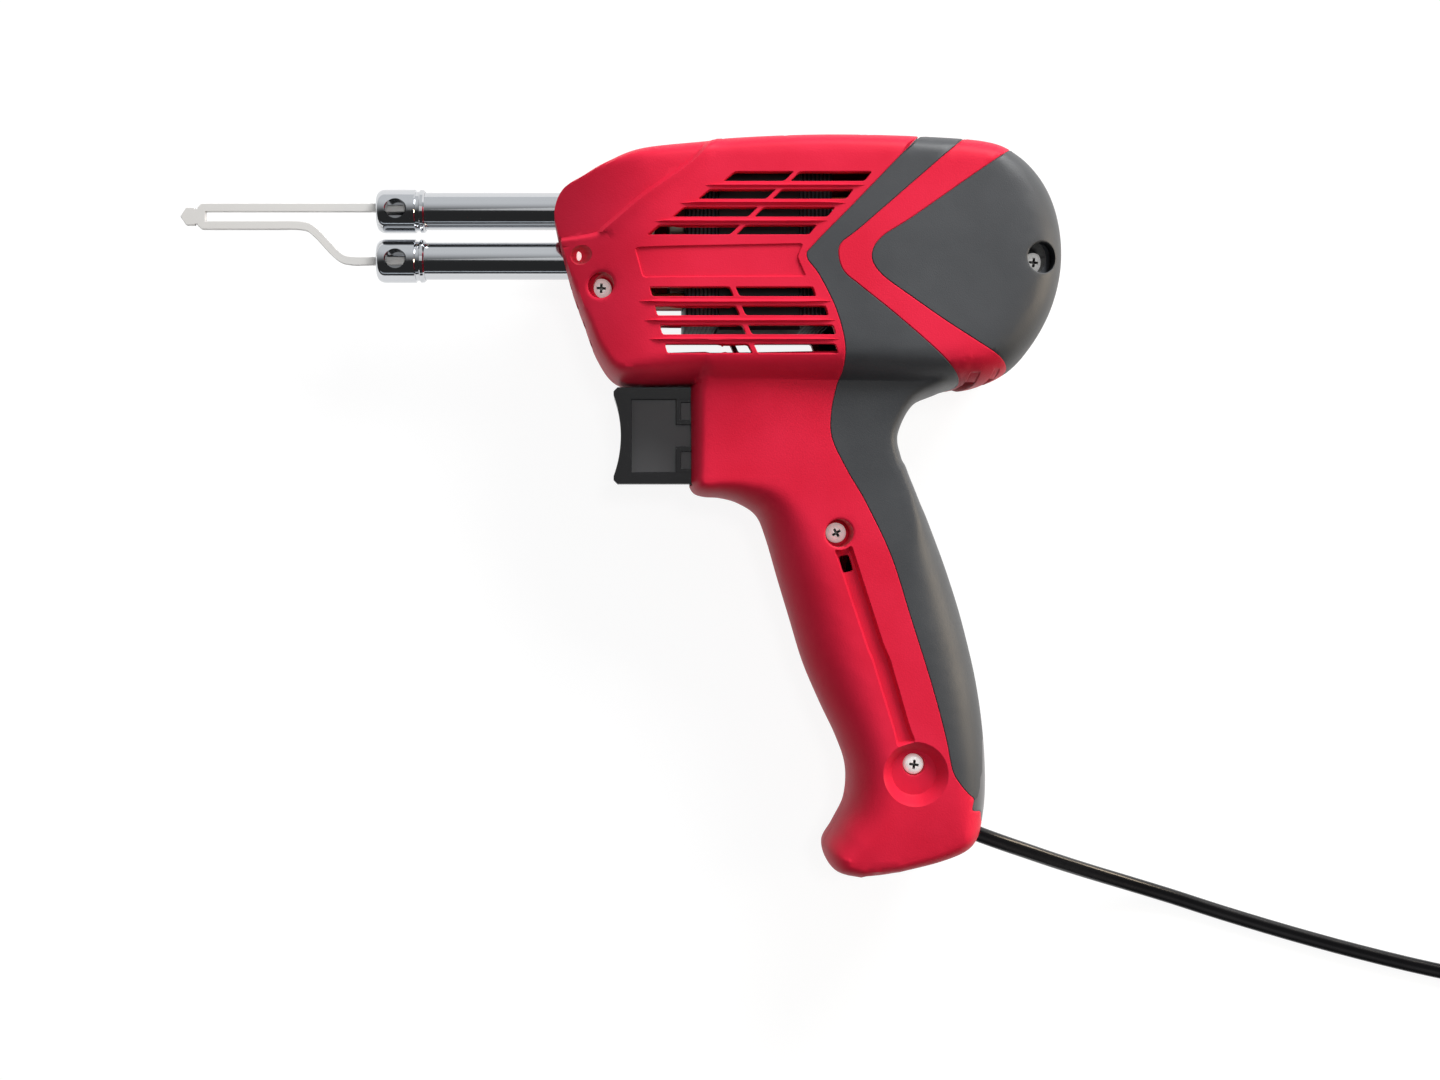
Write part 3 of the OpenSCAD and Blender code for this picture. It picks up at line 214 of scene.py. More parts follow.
def resampled(loop, spacing):
    """Closed loop with even steps of about spacing."""
    pts = np.vstack([loop, loop[:1]])
    run = np.concatenate([[0], np.cumsum(np.linalg.norm(np.diff(pts, axis=0), axis=1))])
    count = max(3, int(round(run[-1] / spacing)))
    at = np.linspace(0, run[-1], count + 1)[:count]
    return np.stack([np.interp(at, run, pts[:, q]) for q in range(pts.shape[1])], 1)


def inside(points, loop):
    """Which points lie inside a closed loop."""
    x, y = points[:, 0][:, None], points[:, 1][:, None]
    x1, y1 = loop[:, 0], loop[:, 1]
    x2, y2 = np.roll(x1, -1), np.roll(y1, -1)
    crosses = (y1 > y) != (y2 > y)
    with np.errstate(divide="ignore", invalid="ignore"):
        at = x1 + (y - y1) * (x2 - x1) / (y2 - y1)
    return (crosses & (x < at)).sum(1) % 2 == 1


def nearest(points, line, closed=True):
    """Distance of each point to a line, and the place along it as index and share."""
    a = line if closed else line[:-1]
    b = np.roll(line, -1, 0) if closed else line[1:]
    d = b - a
    length2 = np.maximum((d ** 2).sum(1), 1e-12)
    best, index, share = np.empty(len(points)), np.empty(len(points), int), np.empty(len(points))
    for s in range(0, len(points), 2000):
        p = points[s:s + 2000, None, :]
        t = np.clip(((p - a) * d).sum(2) / length2, 0, 1)
        gap = np.linalg.norm(p - (a + t[..., None] * d), axis=2)
        i = gap.argmin(1)
        r = np.arange(len(i))
        best[s:s + 2000], index[s:s + 2000], share[s:s + 2000] = gap[r, i], i, t[r, i]
    return best, index, share


def closest(points, others):
    """Distance of each point to the nearest of some others."""
    gap = np.empty(len(points))
    for s in range(0, len(points), 1000):
        gap[s:s + 1000] = np.sqrt(((points[s:s + 1000, None, :] - others) ** 2).sum(2)).min(1)
    return gap


def eased(t):
    t = np.clip(t, 0, 1)
    return t * t * (3 - 2 * t)


# Housing as a height over the parting plane

class Pillow:
    """Rounded form over an outline whose points have an edge radius and a half width."""

    def __init__(self, outline, edge, half, power):
        self.outline, self.edge, self.half, self.power = outline, edge, half, power
        self.inward = side_normals(outline, True)

    def height(self, points):
        gap, i, t = nearest(points, self.outline)
        j = (i + 1) % len(self.edge)
        edge = self.edge[i] * (1 - t) + self.edge[j] * t
        crown = np.empty(len(points))
        for s in range(0, len(points), 2000):
            near = ((points[s:s + 2000, None, :] - self.outline[::3]) ** 2).sum(2)
            w = 1 / (near + 9) ** 2
            crown[s:s + 2000] = (w * self.half[::3]).sum(1) / w.sum(1)
        u = np.clip(gap / edge, 0, 1)
        rise = (1 - (1 - u) ** self.power) ** (1 / self.power)
        return np.where(inside(points, self.outline), crown * rise, np.where(gap < 1e-3, 0, -5 * gap))

    def ring_points(self, angles):
        """Points in rings over the rounded edge, one ring an angle."""
        out = []
        for a in angles:
            inset = self.edge * (1 - math.cos(math.radians(a)) ** (2 / self.power))
            out.append(self.outline + self.inward * inset[:, None])
        return np.vstack(out)


def smooth_max(a, b, k):
    """The larger of two heights, with a fillet of about k between them."""
    return np.maximum(a, b) + np.maximum(k - np.abs(a - b), 0) ** 2 / (4 * np.maximum(k, 1e-9))


head_line = through(HEAD, 12, closed=True)
head_form = Pillow(head_line[:, :2], head_line[:, 2], np.full(len(head_line), PANEL_HALF), HEAD_POWER)
stations = through(GRIP, 9)
grip_loop = np.vstack([stations[:, [0, 1, 4, 5]], stations[::-1][:, [2, 3, 4, 5]]])
grip_form = Pillow(grip_loop[:, :2], grip_loop[:, 2], GRIP_HALF + grip_loop[:, 3], GRIP_POWER)
FORMS = [head_form, grip_form]


def nose_width(x):
    """Half width of the head, which tapers to the nose."""
    return PANEL_HALF - NOSE_DROP * np.clip((NOSE_START - x) / NOSE_LENGTH, 0, 2) ** 2


def base_height(points):
    """Bare outer surface, before its slots, ribs and recesses."""
    h_head = head_form.height(points)
    limit = nose_width(points[:, 0])
    h_head = np.where(h_head > 0, -smooth_max(-h_head, -limit, NOSE_BLEND), h_head)
    h_grip = grip_form.height(points)
    edge_gap = np.full(len(points), 50.0)
    for form, other in (FORMS, FORMS[::-1]):
        rim = form.outline[~inside(form.outline, other.outline)]
        edge_gap = np.minimum(edge_gap, closest(points, rim))
    return np.maximum(smooth_max(h_head, h_grip, NECK_BLEND * eased(edge_gap / NECK_BLEND)), 0)


def slot_loops():
    """Vent slots in two blocks of four rows, each cut in two by its slanted bar."""
    out = []
    half_bar = 0.5

    def pair(low, high, left, right, bar_low, bar_high):
        (l0, l1), (r0, r1) = left, right
        out.append([(l0, low), (bar_low - half_bar, low), (bar_high - half_bar, high), (l1, high)])
        out.append([(bar_low + half_bar, low), (r0, low), (r1, high), (bar_high + half_bar, high)])

    for i in range(4):
        low = UPPER_VENT + UPPER_PITCH * i
        left, right, bar = 7.3 + 6.13 * i, 46.9 + 4.45 * i, 28.3 + 4.35 * i
        pair(low, low + VENT_HIGH, (left, left + 3.1), (right, right + 2), bar, bar + VENT_HIGH)
        high = LOWER_VENT - LOWER_PITCH * i
        left, right, bar = 8 + 1.25 * i, 53.3 - 0.6 * (3 - i) ** 2, 28.2 + 1.5 * i
        pair(high - VENT_HIGH, high, (left + 0.8, left), (right + 0.8, right), bar + 1.2, bar)
    return [resampled(rounded(s, 0.55), 0.7) for s in out]


def rib_loops():
    """Pointed ribs between the slots."""
    out = []
    for i in range(3):
        y = UPPER_VENT + VENT_HIGH + 0.85 + UPPER_PITCH * i
        out.append((9.3 + 6.13 * i, 51.4 + 4.45 * i, y))
        y = LOWER_VENT - VENT_HIGH - 1.0 - LOWER_PITCH * i
        out.append((5.6 + 1.25 * i, 52.5 + 0.8 * i, y))
    point, half = 5, 0.55
    return [np.array([(a, y), (a + point, y - half), (b - point, y - half),
                      (b, y), (b - point, y + half), (a + point, y + half)]) for a, b, y in out]


def notch_loops(rise):
    """Outlines of the notches, open below."""
    return [[(x - w, NOTCH_BELOW), (x + w, NOTCH_BELOW), (x + w, top + rise), (x - w, top + rise)]
            for x, w, top in NOTCHES]


SLOTS = slot_loops()
RIBS = rib_loops()
NOTCH_LOOPS = [np.array(loop) for loop in notch_loops(0)]
STEP_LOOPS = [rounded(loop, 0.5) for loop in notch_loops(NOTCH_STEP)]
label_loop = resampled(rounded(LABEL, 0.8), 0.8)
groove_loop = resampled(rounded(GROOVE[::-1], 0.6), 0.8)
peep_loop = resampled(rounded(PEEP_HOLE[::-1], 0.6), 0.5)
hood_line = through(HOOD_LINE, 10)
band_front = through(BAND_FRONT, 5)
chevron_front = through(CHEVRON_FRONT, 6)
chevron_rear = through(CHEVRON_REAR, 6)
band_loop = np.vstack([band_front, [(125, -100), (125, 26)], chevron_front[::-1]])
cap_loop = np.vstack([[(125, 26), (125, 104)], chevron_rear])
hood_loop = np.vstack([hood_line, [(28, 120), (-40, 120), (-40, 66.2)]])
SEAMS = [band_front, chevron_front, chevron_rear]
strip_loop = resampled(np.array(STRIP), 0.8)


def sunk(points, loop, depth, slope):
    """Depth of a recess, or rise of a rib, with slanted walls, slope wide."""
    gap = nearest(points, loop)[0]
    return depth * np.clip(gap / slope, 0, 1) * inside(points, loop)


def surface(points, base, screw_side):
    """Height of the outer surface with all its detail."""
    h = base.copy()
    solid = h > 1.5
    # Hood step, with a soft ridge along its line
    gap = nearest(points, hood_line, closed=False)[0]
    in_hood = inside(points, hood_loop)
    h = h - HOOD_STEP * eased(np.where(in_hood, gap, 0) / HOOD_SLOPE) * eased((h - 3) / HOOD_FADE)
    ridge = np.exp(-(np.where(in_hood, 3 * gap, gap) / RIDGE_WIDTH) ** 2)
    h = h + HOOD_RIDGE * ridge * eased((h - 6) / HOOD_FADE) * (points[:, 1] > RIDGE_END)
    for loop in SLOTS:
        h = h - sunk(points, loop, SLOT_CHAMFER, SLOT_CHAMFER)
    for loop in RIBS:
        h = h + sunk(points, loop, RIB_RISE, RIB_SLOPE)
    h = h - sunk(points, label_loop, LABEL_DEPTH, LABEL_SLOPE)
    x, y, _, r, rim = GRIP_SCREW
    land = eased((np.hypot(points[:, 0] - x, points[:, 1] - y) - r - rim) / GROOVE_LAND)
    h = h - sunk(points, groove_loop, GROOVE_DEPTH, GROOVE_SLOPE) * land
    for loop in STEP_LOOPS:
        h = h - sunk(points, loop, NOTCH_STEP_DEPTH, NOTCH_SLOPE)
    for line in SEAMS:
        gap = nearest(points, line, closed=False)[0]
        h = h - np.where(solid, SEAM * np.clip(1 - gap / SEAM, 0, 1), 0)
    x, y, rx, ry, depth = LAMP_RIM
    far = np.hypot((points[:, 0] - x) / rx, (points[:, 1] - y) / ry)
    h = np.where(far < 1, h - depth * (1 - far ** 3), h)
    if screw_side:
        x, y, floor_r, rim_r, depth = DISH
        far = np.hypot(points[:, 0] - x, points[:, 1] - y)
        wall = np.clip((rim_r - far) / (rim_r - floor_r), 0, 1)
        h = h - depth * (0.75 * wall + 0.25 * eased(wall))
        for x, y, seat, r, rim in SCREWS:
            far = np.hypot(points[:, 0] - x, points[:, 1] - y)
            h = h - 0.45 * rim * np.clip((r + rim - far) / rim, 0, 1) ** 2
            h = np.where(far < r, h + (seat - h) * np.clip((r - far) / 0.12, 0, 1), h)
    return h


def over_housing(points):
    """Which points lie over the head or the grip."""
    return np.any([inside(points, f.outline) for f in FORMS], axis=0)


def flat_sheet(screw_side):
    """Triangles over the side view, with every feature line kept as edges."""
    lines = [(f.outline, True) for f in FORMS]
    lines += [(line, False) for line in SEAMS + [hood_line]]
    for line in SEAMS:
        n = side_normals(line, False)
        lines += [(line + n * SEAM, False), (line - n * SEAM, False)]
    n = side_normals(hood_line, False)
    lines += [(hood_line + n * gap, False) for gap in (-1.3, -0.7, 0.35, 0.7, 1.2)]
    for loop in SLOTS:
        lines += [(loop, True), (grown(loop, SLOT_CHAMFER), True)]
    for loop in RIBS:
        ends = np.array([loop[0] * 0.94 + loop[3] * 0.06, loop[3] * 0.94 + loop[0] * 0.06])
        lines += [(loop, True), (ends, False)]
    loops = [label_loop, grown(label_loop, LABEL_SLOPE), groove_loop, grown(groove_loop, GROOVE_SLOPE)]
    loops += [peep_loop, strip_loop] + NOTCH_LOOPS
    loops += STEP_LOOPS + [grown(loop, NOTCH_SLOPE) for loop in STEP_LOOPS]
    lines += [(loop, True) for loop in loops]
    x, y, rx, ry, _ = LAMP_RIM
    circles = [circle(x, y, 36, rx * share, ry * share) for share in (1.0, 0.93, 0.8, 0.6, 0.35)]
    if screw_side:
        circles += [circle(DISH[0], DISH[1], 56, r) for r in (8.0, 7.75, 7.3, 6.7, 6.1, 5.7, 5.5)]
        for x, y, _, r, rim in SCREWS:
            sizes = (r + rim, r + rim * 0.6, r + rim * 0.3, r, r - 0.12)
            circles += [circle(x, y, 44, q) for q in sizes]
    lines += [(c, True) for c in circles]

    verts, edges = [], []
    for line, closed in lines:
        start = len(verts)
        verts += [Vector(p) for p in line]
        count = len(line)
        edges += [(start + i, start + (i + 1) % count) for i in range(count if closed else count - 1)]
    fixed = np.array([(v.x, v.y) for v in verts])
    # Rings that follow the rounded edges, thinned out away from the outline
    head_angles = (6, 12, 18, 25, 32, 40, 48, 56, 64, 72, 81, 90)
    grip_angles = (5, 11, 18, 26, 34, 42, 50, 58, 66, 74, 82, 90)
    rings = np.vstack([head_form.ring_points(head_angles), grip_form.ring_points(grip_angles)])
    rings = rings[over_housing(rings)]
    rings = rings[closest(rings, fixed) > RING_CLEAR]
    kept = np.min([nearest(rings, f.outline)[0] for f in FORMS], axis=0) < 2.0
    _, first = np.unique(np.round(rings / RING_GRAIN).astype(int), axis=0, return_index=True)
    kept[first] = True
    rings = rings[kept]
    # Even grid between them
    xs, ys = np.meshgrid(np.arange(-16, 112, GRID_X), np.arange(-94, 94, GRID_Y))
    xs = xs + GRID_X / 2 * (np.arange(len(ys)) % 2)[:, None]
    grid = np.stack([xs.ravel(), ys.ravel()], 1)
    grid = grid[over_housing(grid)]
    grid = grid[closest(grid, np.vstack([fixed, rings])) > GRID_CLEAR]
    verts += [Vector(p) for p in np.vstack([rings, grid])]
    out_v, _, out_f, _, _, _ = delaunay_2d_cdt(verts, edges, [], 0, 1e-5)
    points = np.array([(v.x, v.y) for v in out_v])
    faces = np.array([f for f in out_f if len(f) == 3])
    middle = points[faces].mean(1)
    keep = over_housing(middle)
    for loop in SLOTS:
        keep &= ~inside(middle, grown(loop, SLOT_CHAMFER))
    for loop in NOTCH_LOOPS + [peep_loop]:
        keep &= ~inside(middle, loop)
    return points, faces[keep]


def punched(bm, planes):
    """Cuts a hole into an open surface. Each of its planes is a point and the direction out of the hole."""
    def in_hole(co, margin):
        return all((co - p).dot(n) < margin for p, n in planes)
    for p, n in planes:
        faces = [f for f in bm.faces if any(in_hole(v.co, 3.0) for v in f.verts)]
        geom = set(faces)
        for f in faces:
            geom.update(f.verts)
            geom.update(f.edges)
        bmesh.ops.bisect_plane(bm, geom=list(geom), dist=1e-5, plane_co=p, plane_no=n)
    gone = [f for f in bm.faces if in_hole(f.calc_center_median(), 0)]
    bmesh.ops.delete(bm, geom=gone, context="FACES")


def box_planes(low, high):
    """Planes of a box."""
    low, high = Vector(low), Vector(high)
    axes = [Vector(a) for a in np.eye(3)]
    return [(high, a) for a in axes] + [(low, -a) for a in axes]


def housing_cuts(bm):
    """Holes through the front and the bottom of a half."""
    for y in TUBE_Y:
        centre = Vector((-20, y, 0))
        ring = [Vector((0, math.cos(a), math.sin(a))) for a in np.arange(16) * math.pi / 8 + math.pi / 16]
        r = TUBE_D / 2 + TUBE_CLEAR
        punched(bm, [(centre + n * r, n) for n in ring] + [(Vector((-6, y, 0)), Vector((1, 0, 0)))])
    for i in range(NOSE_VENTS):
        y = NOSE_VENT_FIRST + NOSE_VENT_PITCH * i
        punched(bm, box_planes((-20, y, -1), (2, y + NOSE_VENT_HIGH, NOSE_VENT_HALF)))
    punched(bm, box_planes(TRIGGER_LOW, TRIGGER_HIGH))


def walled(bm, depth, side):
    """Closed shell: the sheet with its detail outside, and an even wall below the bare form."""
    bm.normal_update()
    bm.verts.index_update()
    count = len(bm.verts)
    outer, inner = [], []
    for v in bm.verts:
        outer.append((v.co.x, v.co.y, max(v.co.z + v[depth], 0)))
        low = v.co - v.normal * WALL
        inner.append((low.x, low.y, max(low.z + min(v[depth] + THIN_WALL, 0), 0)))
    verts = np.array(outer + inner)
    verts[:, 2] = PARTING + side * (verts[:, 2] + HALF_SEAM * np.exp(-verts[:, 2]))
    shell = []
    for face in bm.faces:
        ring = [v.index for v in face.verts]
        shell += [ring, [i + count for i in reversed(ring)]]
        for edge_loop in face.loops:
            if len(edge_loop.edge.link_faces) == 1:
                i, j = edge_loop.vert.index, edge_loop.link_loop_next.vert.index
                shell.append([j, i, i + count, j + count])
    if side < 0:
        shell = [ring[::-1] for ring in shell]
    return [Vector(v) * MM for v in verts], shell


def housing_half(name, screw_side):
    """Red and black shell of one half. Only one side has screw recesses."""
    points, faces = flat_sheet(screw_side)
    base = base_height(points)
    detail = surface(points, base, screw_side) - base
    middle = points[faces].mean(1)
    dark = inside(middle, band_loop) | inside(middle, cap_loop)
    built = []
    for part, mask in (("red", ~dark), ("black", dark)):
        bm = bmesh.new()
        depth = bm.verts.layers.float.new("detail")
        made = {}
        for v in np.unique(faces[mask]):
            made[v] = bm.verts.new((points[v, 0], points[v, 1], base[v]))
            made[v][depth] = detail[v]
        for f in faces[mask]:
            bm.faces.new([made[v] for v in f])
        bmesh.ops.recalc_face_normals(bm, faces=bm.faces)
        if sum(f.normal.z * f.calc_area() for f in bm.faces) < 0:
            bmesh.ops.reverse_faces(bm, faces=bm.faces)
        if part == "red":
            housing_cuts(bm)
        piece = mesh_piece(f"{name}_{part}", *walled(bm, depth, 1 if screw_side else -1), sharp=32)
        bm.free()
        built.append(piece)
    return built


def added(name, data):
    """New object in the scene."""
    made = bpy.data.objects.new(name, data)
    bpy.context.scene.collection.objects.link(made)
    return made


def wired(tree, *pairs):
    """Links nodes, each pair an output and an input."""
    for a, b in pairs:
        tree.links.new(a, b)


def smoothed(mesh, sharp):
    """Smooth shading with edges sharper than an angle kept."""
    mesh.polygons.foreach_set("use_smooth", [True] * len(mesh.polygons))
    mesh.set_sharp_from_angle(angle=math.radians(sharp))


def applied(piece):
    """Turns the modifiers of a piece into its mesh."""
    view = bpy.context.evaluated_depsgraph_get()
    mesh = bpy.data.meshes.new_from_object(piece.evaluated_get(view))
    piece.modifiers.clear()
    old = piece.data
    piece.data = mesh
    mesh.name = piece.name
    bpy.data.meshes.remove(old)
    return piece


# Materials

def linear(value):
    """Light of a picture value from 0 to 255."""
    value /= 255
    return value / 12.92 if value <= 0.04045 else ((value + 0.055) / 1.055) ** 2.4


def colour(r, g, b):
    return (linear(r), linear(g), linear(b), 1.0)


def preset(node, **sockets):
    """Sets the inputs of a node."""
    for key, value in sockets.items():
        node.inputs[key.replace("_", " ")].default_value = value


class Finish:
    """A material with its Principled shader and a few ready-made links."""

    def __init__(self, name, base, roughness, metallic=0.0, **sockets):
        self.material = bpy.data.materials.new(name)
        self.material.use_nodes = True
        self.tree = self.material.node_tree
        self.shader = self.tree.nodes["Principled BSDF"]
        preset(self.shader, Base_Color=base, Roughness=roughness, Metallic=metallic, **sockets)
        self.place = self.node("ShaderNodeTexCoord").outputs["Object"]

    def node(self, kind, **values):
        made = self.tree.nodes.new(kind)
        for key, value in values.items():
            setattr(made, key, value)
        return made

    def link(self, a, b):
        self.tree.links.new(a, b)

    def noise(self, scale, detail, stretch=None):
        """Noise with its grain size in cycles a metre."""
        tex = self.node("ShaderNodeTexNoise")
        preset(tex, Scale=scale, Detail=detail)
        place = self.place
        if stretch:
            mapping = self.node("ShaderNodeMapping")
            preset(mapping, Scale=stretch)
            self.link(place, mapping.inputs["Vector"])
            place = mapping.outputs["Vector"]
        self.link(place, tex.inputs["Vector"])
        return tex.outputs["Fac"]

    def ramp(self, value, stops):
        """Colour that follows a value through stops."""
        ramp = self.node("ShaderNodeValToRGB")
        ramp.color_ramp.elements[0].position, ramp.color_ramp.elements[0].color = stops[0]
        ramp.color_ramp.elements[1].position, ramp.color_ramp.elements[1].color = stops[-1]
        for at, tone in stops[1:-1]:
            ramp.color_ramp.elements.new(at).color = tone
        self.link(value, ramp.inputs["Fac"])
        return ramp.outputs["Color"]

    def grey_range(self, value, low, high):
        """A value from 0 to 1 brought between low and high."""
        part = self.node("ShaderNodeMapRange")
        preset(part, To_Min=low, To_Max=high)
        self.link(value, part.inputs["Value"])
        return part.outputs["Result"]

    def bands(self, direction, scale, distortion=0.0):
        """Parallel bands across one axis."""
        wave = self.node("ShaderNodeTexWave", wave_type="BANDS", bands_direction=direction)
        preset(wave, Scale=scale, Distortion=distortion)
        self.link(self.place, wave.inputs["Vector"])
        return wave.outputs["Fac"]

    def coloured(self, tone):
        self.link(tone, self.shader.inputs["Base Color"])

    def worn(self, value, low, high):
        """Roughness that wanders between low and high."""
        self.link(self.grey_range(value, low, high), self.shader.inputs["Roughness"])

    def bump(self, value, height, strength=1.0):
        bump = self.node("ShaderNodeBump")
        preset(bump, Strength=strength, Distance=height)
        self.link(value, bump.inputs["Height"])
        self.link(bump.outputs["Normal"], self.shader.inputs["Normal"])


def moulded(name, light, dark, roughness, grain, height, specular):
    """Moulded plastic with a spark-eroded grain and slight flow marks."""
    f = Finish(name, colour(*light), roughness, Specular_IOR_Level=specular)
    f.coloured(f.ramp(f.noise(45, 4), [(0.35, colour(*dark)), (0.65, colour(*light))]))
    f.worn(f.noise(180, 3), roughness - 0.05, roughness + 0.06)
    f.bump(f.noise(grain, 2), height * MICRON, 0.6)
    return f.material


def plated(name, base, roughness, marks):
    """Bright metal with faint drawing marks along its length."""
    f = Finish(name, colour(*base), roughness, 1.0)
    f.worn(f.noise(900, 4, (0.05, 1, 1)), roughness, roughness + marks)
    f.bump(f.noise(1500, 2, (0.04, 1, 1)), 4 * MICRON, 0.3)
    return f.material


def nickel(name, base, roughness, metallic, painted_glow):
    """Satin nickel with fine tumbling marks, with painted shade that darkens its hollows and a faint painted
    glow that keeps it bright in a deep seat.
    """
    base = colour(*base)
    # Painted light: the finish glows faintly in its own colour, so that it stays bright down in a recess.
    f = Finish(name, base, roughness, metallic, Emission_Strength=painted_glow)
    # Painted shade: the colour goes near black where ambient occlusion finds a hollow, such as a screw's
    # cross.
    painted_hollow_shade = f.node("ShaderNodeAmbientOcclusion", only_local=True, samples=8)
    preset(painted_hollow_shade, Distance=1200 * MICRON)
    tone = f.ramp(painted_hollow_shade.outputs["AO"], [(0.45, colour(16, 15, 15)), (0.8, base)])
    f.coloured(tone)
    f.link(tone, f.shader.inputs["Emission Color"])
    f.worn(f.noise(2200, 4), roughness - 0.08, roughness + 0.1)
    f.bump(f.noise(2600, 2), 6 * MICRON, 0.4)
    return f.material


def stacked_steel():
    """Edges of thin steel sheets, seen as fine lines across the core."""
    f = Finish("core_steel", colour(70, 72, 76), 0.45, 0.8)
    bands = f.bands("X", 320, 0.4)
    f.coloured(f.ramp(bands, [(0.1, colour(44, 45, 48)), (0.6, colour(92, 94, 98))]))
    f.bump(bands, 150 * MICRON, 0.8)
    return f.material


def fibre_board():
    """Pressed board with short fibres."""
    f = Finish("spacer_board", colour(176, 142, 98), 0.7)
    tones = [(0.3, colour(150, 116, 76)), (0.7, colour(190, 156, 110))]
    f.coloured(f.ramp(f.noise(600, 5, (1, 4, 1)), tones))
    f.bump(f.noise(1800, 3), 30 * MICRON)
    return f.material


def wound_copper():
    """Enamelled winding, one ridge a turn, with painted shade in the groove between turns."""
    f = Finish("winding", colour(178, 92, 44), 0.3, 0.7, Coat_Weight=0.5)
    bands = f.bands("Z", 420)
    # Painted shade: the dark end of the ramp falls in each groove, where the bump is lowest.
    f.coloured(f.ramp(bands, [(0.05, colour(90, 40, 18)), (0.6, colour(196, 108, 56))]))
    f.bump(bands, 200 * MICRON)
    return f.material


def lamp_lens():
    """Clear resin with a faint light of its own."""
    f = Finish("lamp_clear", colour(248, 248, 244), 0.12, Transmission_Weight=0.25, IOR=1.5,
               Emission_Color=colour(255, 255, 250), Emission_Strength=0.55)
    f.bump(f.noise(2500, 2), 10 * MICRON)
    return f.material


# Light and dark tone, roughness, grains a metre, their height in micrometres, specular level
PLASTICS = {
    "red_body": ((212, 36, 64), (203, 30, 56), 0.46, 2800, 70, 0.1),
    "soft_black": ((66, 68, 71), (59, 61, 64), 0.48, 4200, 50, 0.35),
    "strip_black": ((80, 79, 82), (74, 73, 76), 0.3, 5200, 10, 0.5),
    "trigger_black": ((24, 24, 26), (20, 20, 22), 0.14, 2500, 10, 0.4),
    # The trigger panel has a rougher grain, and its lighter grey is painted sheen for the soft light that a
    # flat panel reflects.
    "trigger_panel": ((84, 84, 85), (77, 77, 78), 0.36, 2500, 10, 0.5),
    "inner_black": ((30, 30, 32), (24, 24, 26), 0.5, 3500, 40, 0.5),
    # The bracket's near-black tone is painted shade, so that the inside of the case reads dark through the
    # vents.
    "bracket_steel": ((34, 34, 36), (26, 26, 28), 0.45, 3500, 40, 0.5),
    "white_wire": ((225, 225, 222), (215, 215, 212), 0.35, 3000, 10, 0.5),
    "red_wire": ((160, 40, 32), (150, 34, 28), 0.35, 3000, 10, 0.5),
    "bobbin_white": ((186, 180, 162), (178, 171, 152), 0.4, 3500, 40, 0.5),
    "cord_black": ((22, 22, 24), (18, 18, 20), 0.24, 2200, 10, 0.5),
}
# Tone, roughness, and what the drawing marks add to it
METALS = {
    "plated": ((205, 207, 210), 0.06, 0.05),
    "spring_steel": ((160, 160, 165), 0.25, 0.05),
    "copper": ((196, 120, 72), 0.3, 0.1),
    "terminal_brass": ((214, 180, 104), 0.22, 0.08),
}
MATERIALS = {name: moulded(name, *look) for name, look in PLASTICS.items()}
MATERIALS.update((name, plated(name, *look)) for name, look in METALS.items())
# The screws glow faintly as painted light, to stay bright in their deep recesses; both nickel finishes take
# painted shade in their hollows.
MATERIALS["screw_steel"] = nickel("screw_steel", (252, 251, 249), 0.34, 0.3, 0.2)
MATERIALS["tip_satin"] = nickel("tip_satin", (226, 224, 221), 0.45, 0.3, 0.0)
MATERIALS["core_steel"] = stacked_steel()
MATERIALS["spacer_board"] = fibre_board()
MATERIALS["winding"] = wound_copper()
MATERIALS["lamp_clear"] = lamp_lens()
NODE_FINISH = {s["node"]: s["material_slot"] for s in frame["record"]["subparts"]}


def dressed(piece, finish):
    """Gives a piece its material."""
    piece.data.materials.clear()
    piece.data.materials.append(MATERIALS[finish])
    return piece


# Camera and cord

def add_camera():
    """The photograph's view, from straight above the gun as it lies on its right side."""
    data = bpy.data.cameras.new("camera")
    data.lens, data.sensor_width = 41.5, 36.0
    data.shift_x, data.shift_y = 0.066, -0.021
    data.clip_start, data.clip_end = 0.01, 20
    camera = added("camera", data)
    camera.location = (0.00236, -0.00015, 0.4504)
    bpy.context.scene.camera = camera


add_camera()


def mesh_piece(name, verts, faces, sharp=None):
    """New object from points in metres, smooth if it has an angle for its sharp edges."""
    mesh = bpy.data.meshes.new(name)
    mesh.from_pydata([tuple(v) for v in verts], [], [tuple(f) for f in faces])
    mesh.validate()
    piece = added(name, mesh)
    if sharp:
        smoothed(mesh, sharp)
    return piece


def ring_faces(rings, count, closed=False):
    """Faces between rings of count points each. A closed row of rings ends at its first."""
    faces = []
    for r in range(rings if closed else rings - 1):
        here, there = r * count, (r + 1) % rings * count
        for i in range(count):
            j = (i + 1) % count
            faces.append((here + i, here + j, there + j, there + i))
    return faces


